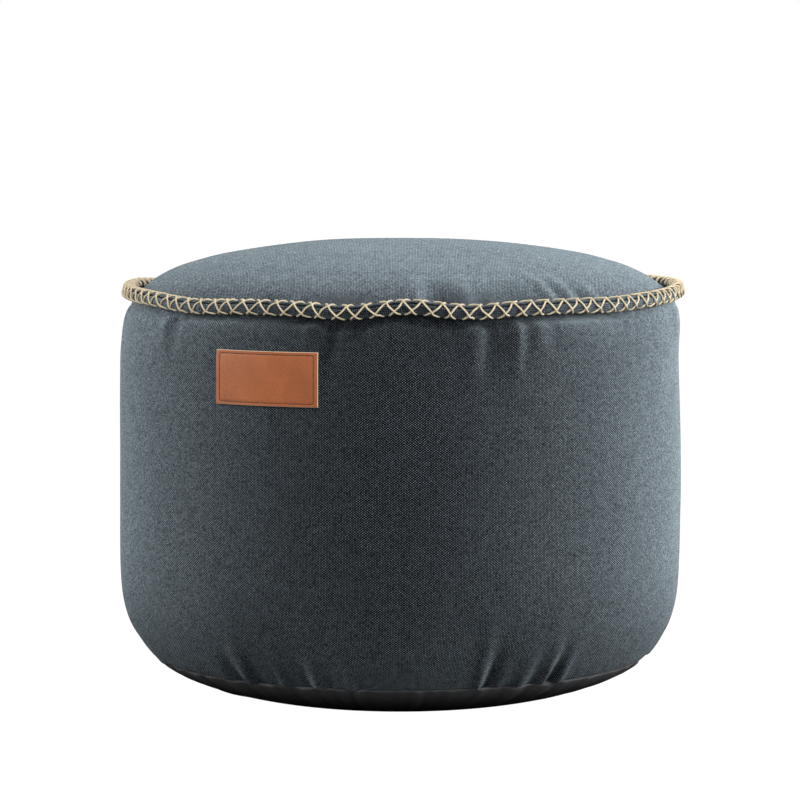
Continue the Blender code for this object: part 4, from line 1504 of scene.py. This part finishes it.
class STOOL_OT_tag(bpy.types.Operator):
    """Make the leather tag with its pale cut edge, its dented seam and its stitches"""

    bl_idname = "stool.tag"
    bl_label = "Leather Tag"

    def execute(self, context):
        tag = context.scene.stool_tag
        columns = round(tag.width / TAG_CELL)
        rows = round(tag.height / TAG_CELL)
        across, up = np.meshgrid(np.linspace(-tag.width / 2, tag.width / 2, columns + 1),
                                 np.linspace(-tag.height / 2, tag.height / 2, rows + 1))
        across, up = across.ravel(), up.ravel()
        line = stitch_line()
        from_seam = distance_to_line(np.stack([across, up], axis=-1), line)
        dent = DENT_DEPTH * np.exp(-(from_seam / DENT_SPREAD) ** 2)
        to_edge = np.minimum(tag.width / 2 - np.abs(across), tag.height / 2 - np.abs(up))
        edge = EDGE_DROP * (1.0 - ramp(to_edge / EDGE_DROP_REACH))
        points = tag_place(across, up, tag.thickness - dent - edge)
        piece = mesh_object("tag_leather", points, grid_faces(rows, columns))
        piece.data.materials.append(leather_material())
        piece.data.materials.append(plain_material("leather_edge", tag.cut_edge, roughness=0.8,
                                                   scale=800.0, amount=0.3))
        body = piece.modifiers.new("Thickness", "SOLIDIFY")
        body.thickness = tag.thickness - TAG_BACK_TRIM
        body.offset = -1.0
        body.material_offset_rim = 1
        corner = piece.modifiers.new("Corner", "BEVEL")
        corner.width = EDGE_BEVEL
        corner.segments = 2
        corner.material = 1
        corner.limit_method = "ANGLE"
        corner.angle_limit = EDGE_BEVEL_FROM
        baked(piece)
        finish_piece(piece, "leather_tag")

        seat = tag_place(line[:, 0], line[:, 1], tag.thickness - DENT_DEPTH + STITCH_RISE)
        guide = curve_object("stitch_guide", [seat], closed=True)
        stitches = grow("tag_stitches", guide, build_stitch_tree(), {
            "Stitch Pitch": tag.stitch_pitch,
            "Stitch Length": tag.stitch_pitch * STITCH_SHARE,
            "Thread Thickness": THREAD_THICKNESS,
            "Material": plain_material("stitch_thread", tag.thread, roughness=0.6,
                                       scale=2500.0, amount=0.3),
        })
        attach(stitches, "root")
        return {"FINISHED"}


# ---------------------------------------------------------------- studio

FLOOR_REACH = 12.0
FLOOR_DROP = 0.0003          # from the stool's flat down to the floor
SENSOR_WIDTH = 36.0          # millimetres, as the lens
CLIP_END = 50.0
LIT_POINT = (0.0, 0.0, 0.2)
# Soft oblong lights that face the lit point are rows of (name, place, size, the setting of its power).
LIGHTS = (
    ("right_light", (2.1, -0.75, 1.1), (1.2, 1.4), "right_power"),
    ("left_light", (-2.1, -0.30, 0.9), (1.2, 1.4), "left_power"),
    ("front_light", (-0.3, -1.9, 1.9), (1.6, 1.0), "front_power"),
    ("low_light", (0.0, -2.3, 0.7), (1.6, 1.0), "low_power"),
)


def area_light(name, place, size, power):
    """A soft oblong light that faces the lit point."""
    data = bpy.data.lights.new(name, "AREA")
    data.shape = "RECTANGLE"
    data.size, data.size_y = size
    data.energy = power
    lamp = bpy.data.objects.new(name, data)
    lamp.location = place
    lamp.rotation_euler = (Vector(LIT_POINT) - Vector(place)).to_track_quat("-Z", "Y").to_euler()
    bpy.context.scene.collection.objects.link(lamp)


def floor_material():
    """The pale floor, which looks near white to the camera and gives the stool little light."""
    stage = bpy.context.scene.stool_stage
    material, board, shader = new_material("studio_floor", roughness=0.9)
    board.feed(shader.inputs["Base Color"], opaque(stage.floor_colour))
    glow = board.add("ShaderNodeEmission", {"Color": WHITE, "Strength": 1.0})
    seen = board.add("ShaderNodeLightPath").outputs["Is Camera Ray"]
    shown = board.add("ShaderNodeMixShader", {0: seen, 2: glow.outputs[0]})
    both = board.add("ShaderNodeAddShader", {0: shader.outputs[0], 1: shown.outputs[0]})
    output = next(node for node in board.tree.nodes if node.type == "OUTPUT_MATERIAL")
    board.feed(output.inputs["Surface"], both.outputs[0])
    return material


def build_floor():
    """The floor under the stool."""
    corners = [(x * FLOOR_REACH, y * FLOOR_REACH, -FLOOR_DROP)
               for x, y in ((-1, -1), (1, -1), (1, 1), (-1, 1))]
    floor = mesh_object("studio_floor", corners, [(0, 1, 2, 3)])
    floor.data.materials.append(floor_material())


def build_world(stage):
    """The white room round the stool, which the camera sees as pure white."""
    world = bpy.data.worlds.new("studio")
    world.use_nodes = True
    board = Board(world.node_tree)
    seen = board.add("ShaderNodeLightPath").outputs["Is Camera Ray"]
    glow = board.add("ShaderNodeBackground", {"Color": WHITE,
                                              "Strength": board.mix(seen, stage.surround, 1.0)})
    board.add("ShaderNodeOutputWorld", {"Surface": glow.outputs[0]})
    return world


def build_camera(stage):
    """The camera in front of the stool."""
    data = bpy.data.cameras.new("camera")
    data.lens = stage.lens
    data.sensor_width = SENSOR_WIDTH
    data.clip_end = CLIP_END
    camera = bpy.data.objects.new("camera", data)
    camera.location = (DRUM_AXIS, -stage.camera_distance, stage.camera_height)
    camera.rotation_euler = (math.pi / 2 - stage.camera_dip, 0.0, 0.0)
    bpy.context.scene.collection.objects.link(camera)
    return camera


class STOOL_OT_stage(bpy.types.Operator):
    """Make the floor, the soft lights and the camera"""

    bl_idname = "stool.stage"
    bl_label = "Studio"

    def execute(self, context):
        stage = context.scene.stool_stage
        build_floor()
        for name, place, size, setting in LIGHTS:
            area_light(name, place, size, getattr(stage, setting))
        context.scene.world = build_world(stage)
        context.scene.camera = build_camera(stage)
        context.scene.view_settings.view_transform = "Standard"
        return {"FINISHED"}


# ---------------------------------------------------------------- panel and registration

class STOOL_PT_panel(bpy.types.Panel):
    """The footstool's settings and steps"""

    bl_label = "Bean Bag Footstool"
    bl_idname = "STOOL_PT_panel"
    bl_space_type = "VIEW_3D"
    bl_region_type = "UI"
    bl_category = "Footstool"

    def draw(self, context):
        for title, settings, steps in PANEL_ROWS:
            box = self.layout.box()
            box.label(text=title)
            group = getattr(context.scene, settings)
            for name in group.bl_rna.properties.keys():
                if name not in ("rna_type", "name"):
                    box.prop(group, name)
            for step in steps:
                box.operator(step)


PANEL_ROWS = (
    ("Form", "stool_form", ("stool.side_cloth", "stool.top_cloth", "stool.base_cloth")),
    ("Cloth", "stool_cloth", ("stool.piping",)),
    ("Lacing", "stool_lacing", ("stool.lacing",)),
    ("Tag", "stool_tag", ("stool.tag",)),
    ("Studio", "stool_stage", ("stool.stage",)),
)
SETTINGS = {
    "stool_form": StoolFormSettings,
    "stool_cloth": StoolClothSettings,
    "stool_lacing": StoolLacingSettings,
    "stool_tag": StoolTagSettings,
    "stool_stage": StoolStageSettings,
}
CLASSES = (*SETTINGS.values(), STOOL_OT_side_cloth, STOOL_OT_top_cloth, STOOL_OT_base_cloth,
           STOOL_OT_piping, STOOL_OT_lacing, STOOL_OT_tag, STOOL_OT_stage, STOOL_PT_panel)


def register():
    """Adds the settings, the steps and the panel."""
    for item in CLASSES:
        bpy.utils.register_class(item)
    for name, kind in SETTINGS.items():
        setattr(bpy.types.Scene, name, bpy.props.PointerProperty(type=kind))


def unregister():
    """Takes them away again."""
    for name in SETTINGS:
        delattr(bpy.types.Scene, name)
    for item in reversed(CLASSES):
        bpy.utils.unregister_class(item)


def main():
    """Makes the whole scene."""
    register()
    bpy.ops.stool.stage()
    bpy.ops.stool.side_cloth()
    bpy.ops.stool.top_cloth()
    bpy.ops.stool.base_cloth()
    bpy.ops.stool.piping()
    bpy.ops.stool.lacing()
    bpy.ops.stool.tag()


if __name__ == "__main__":
    main()
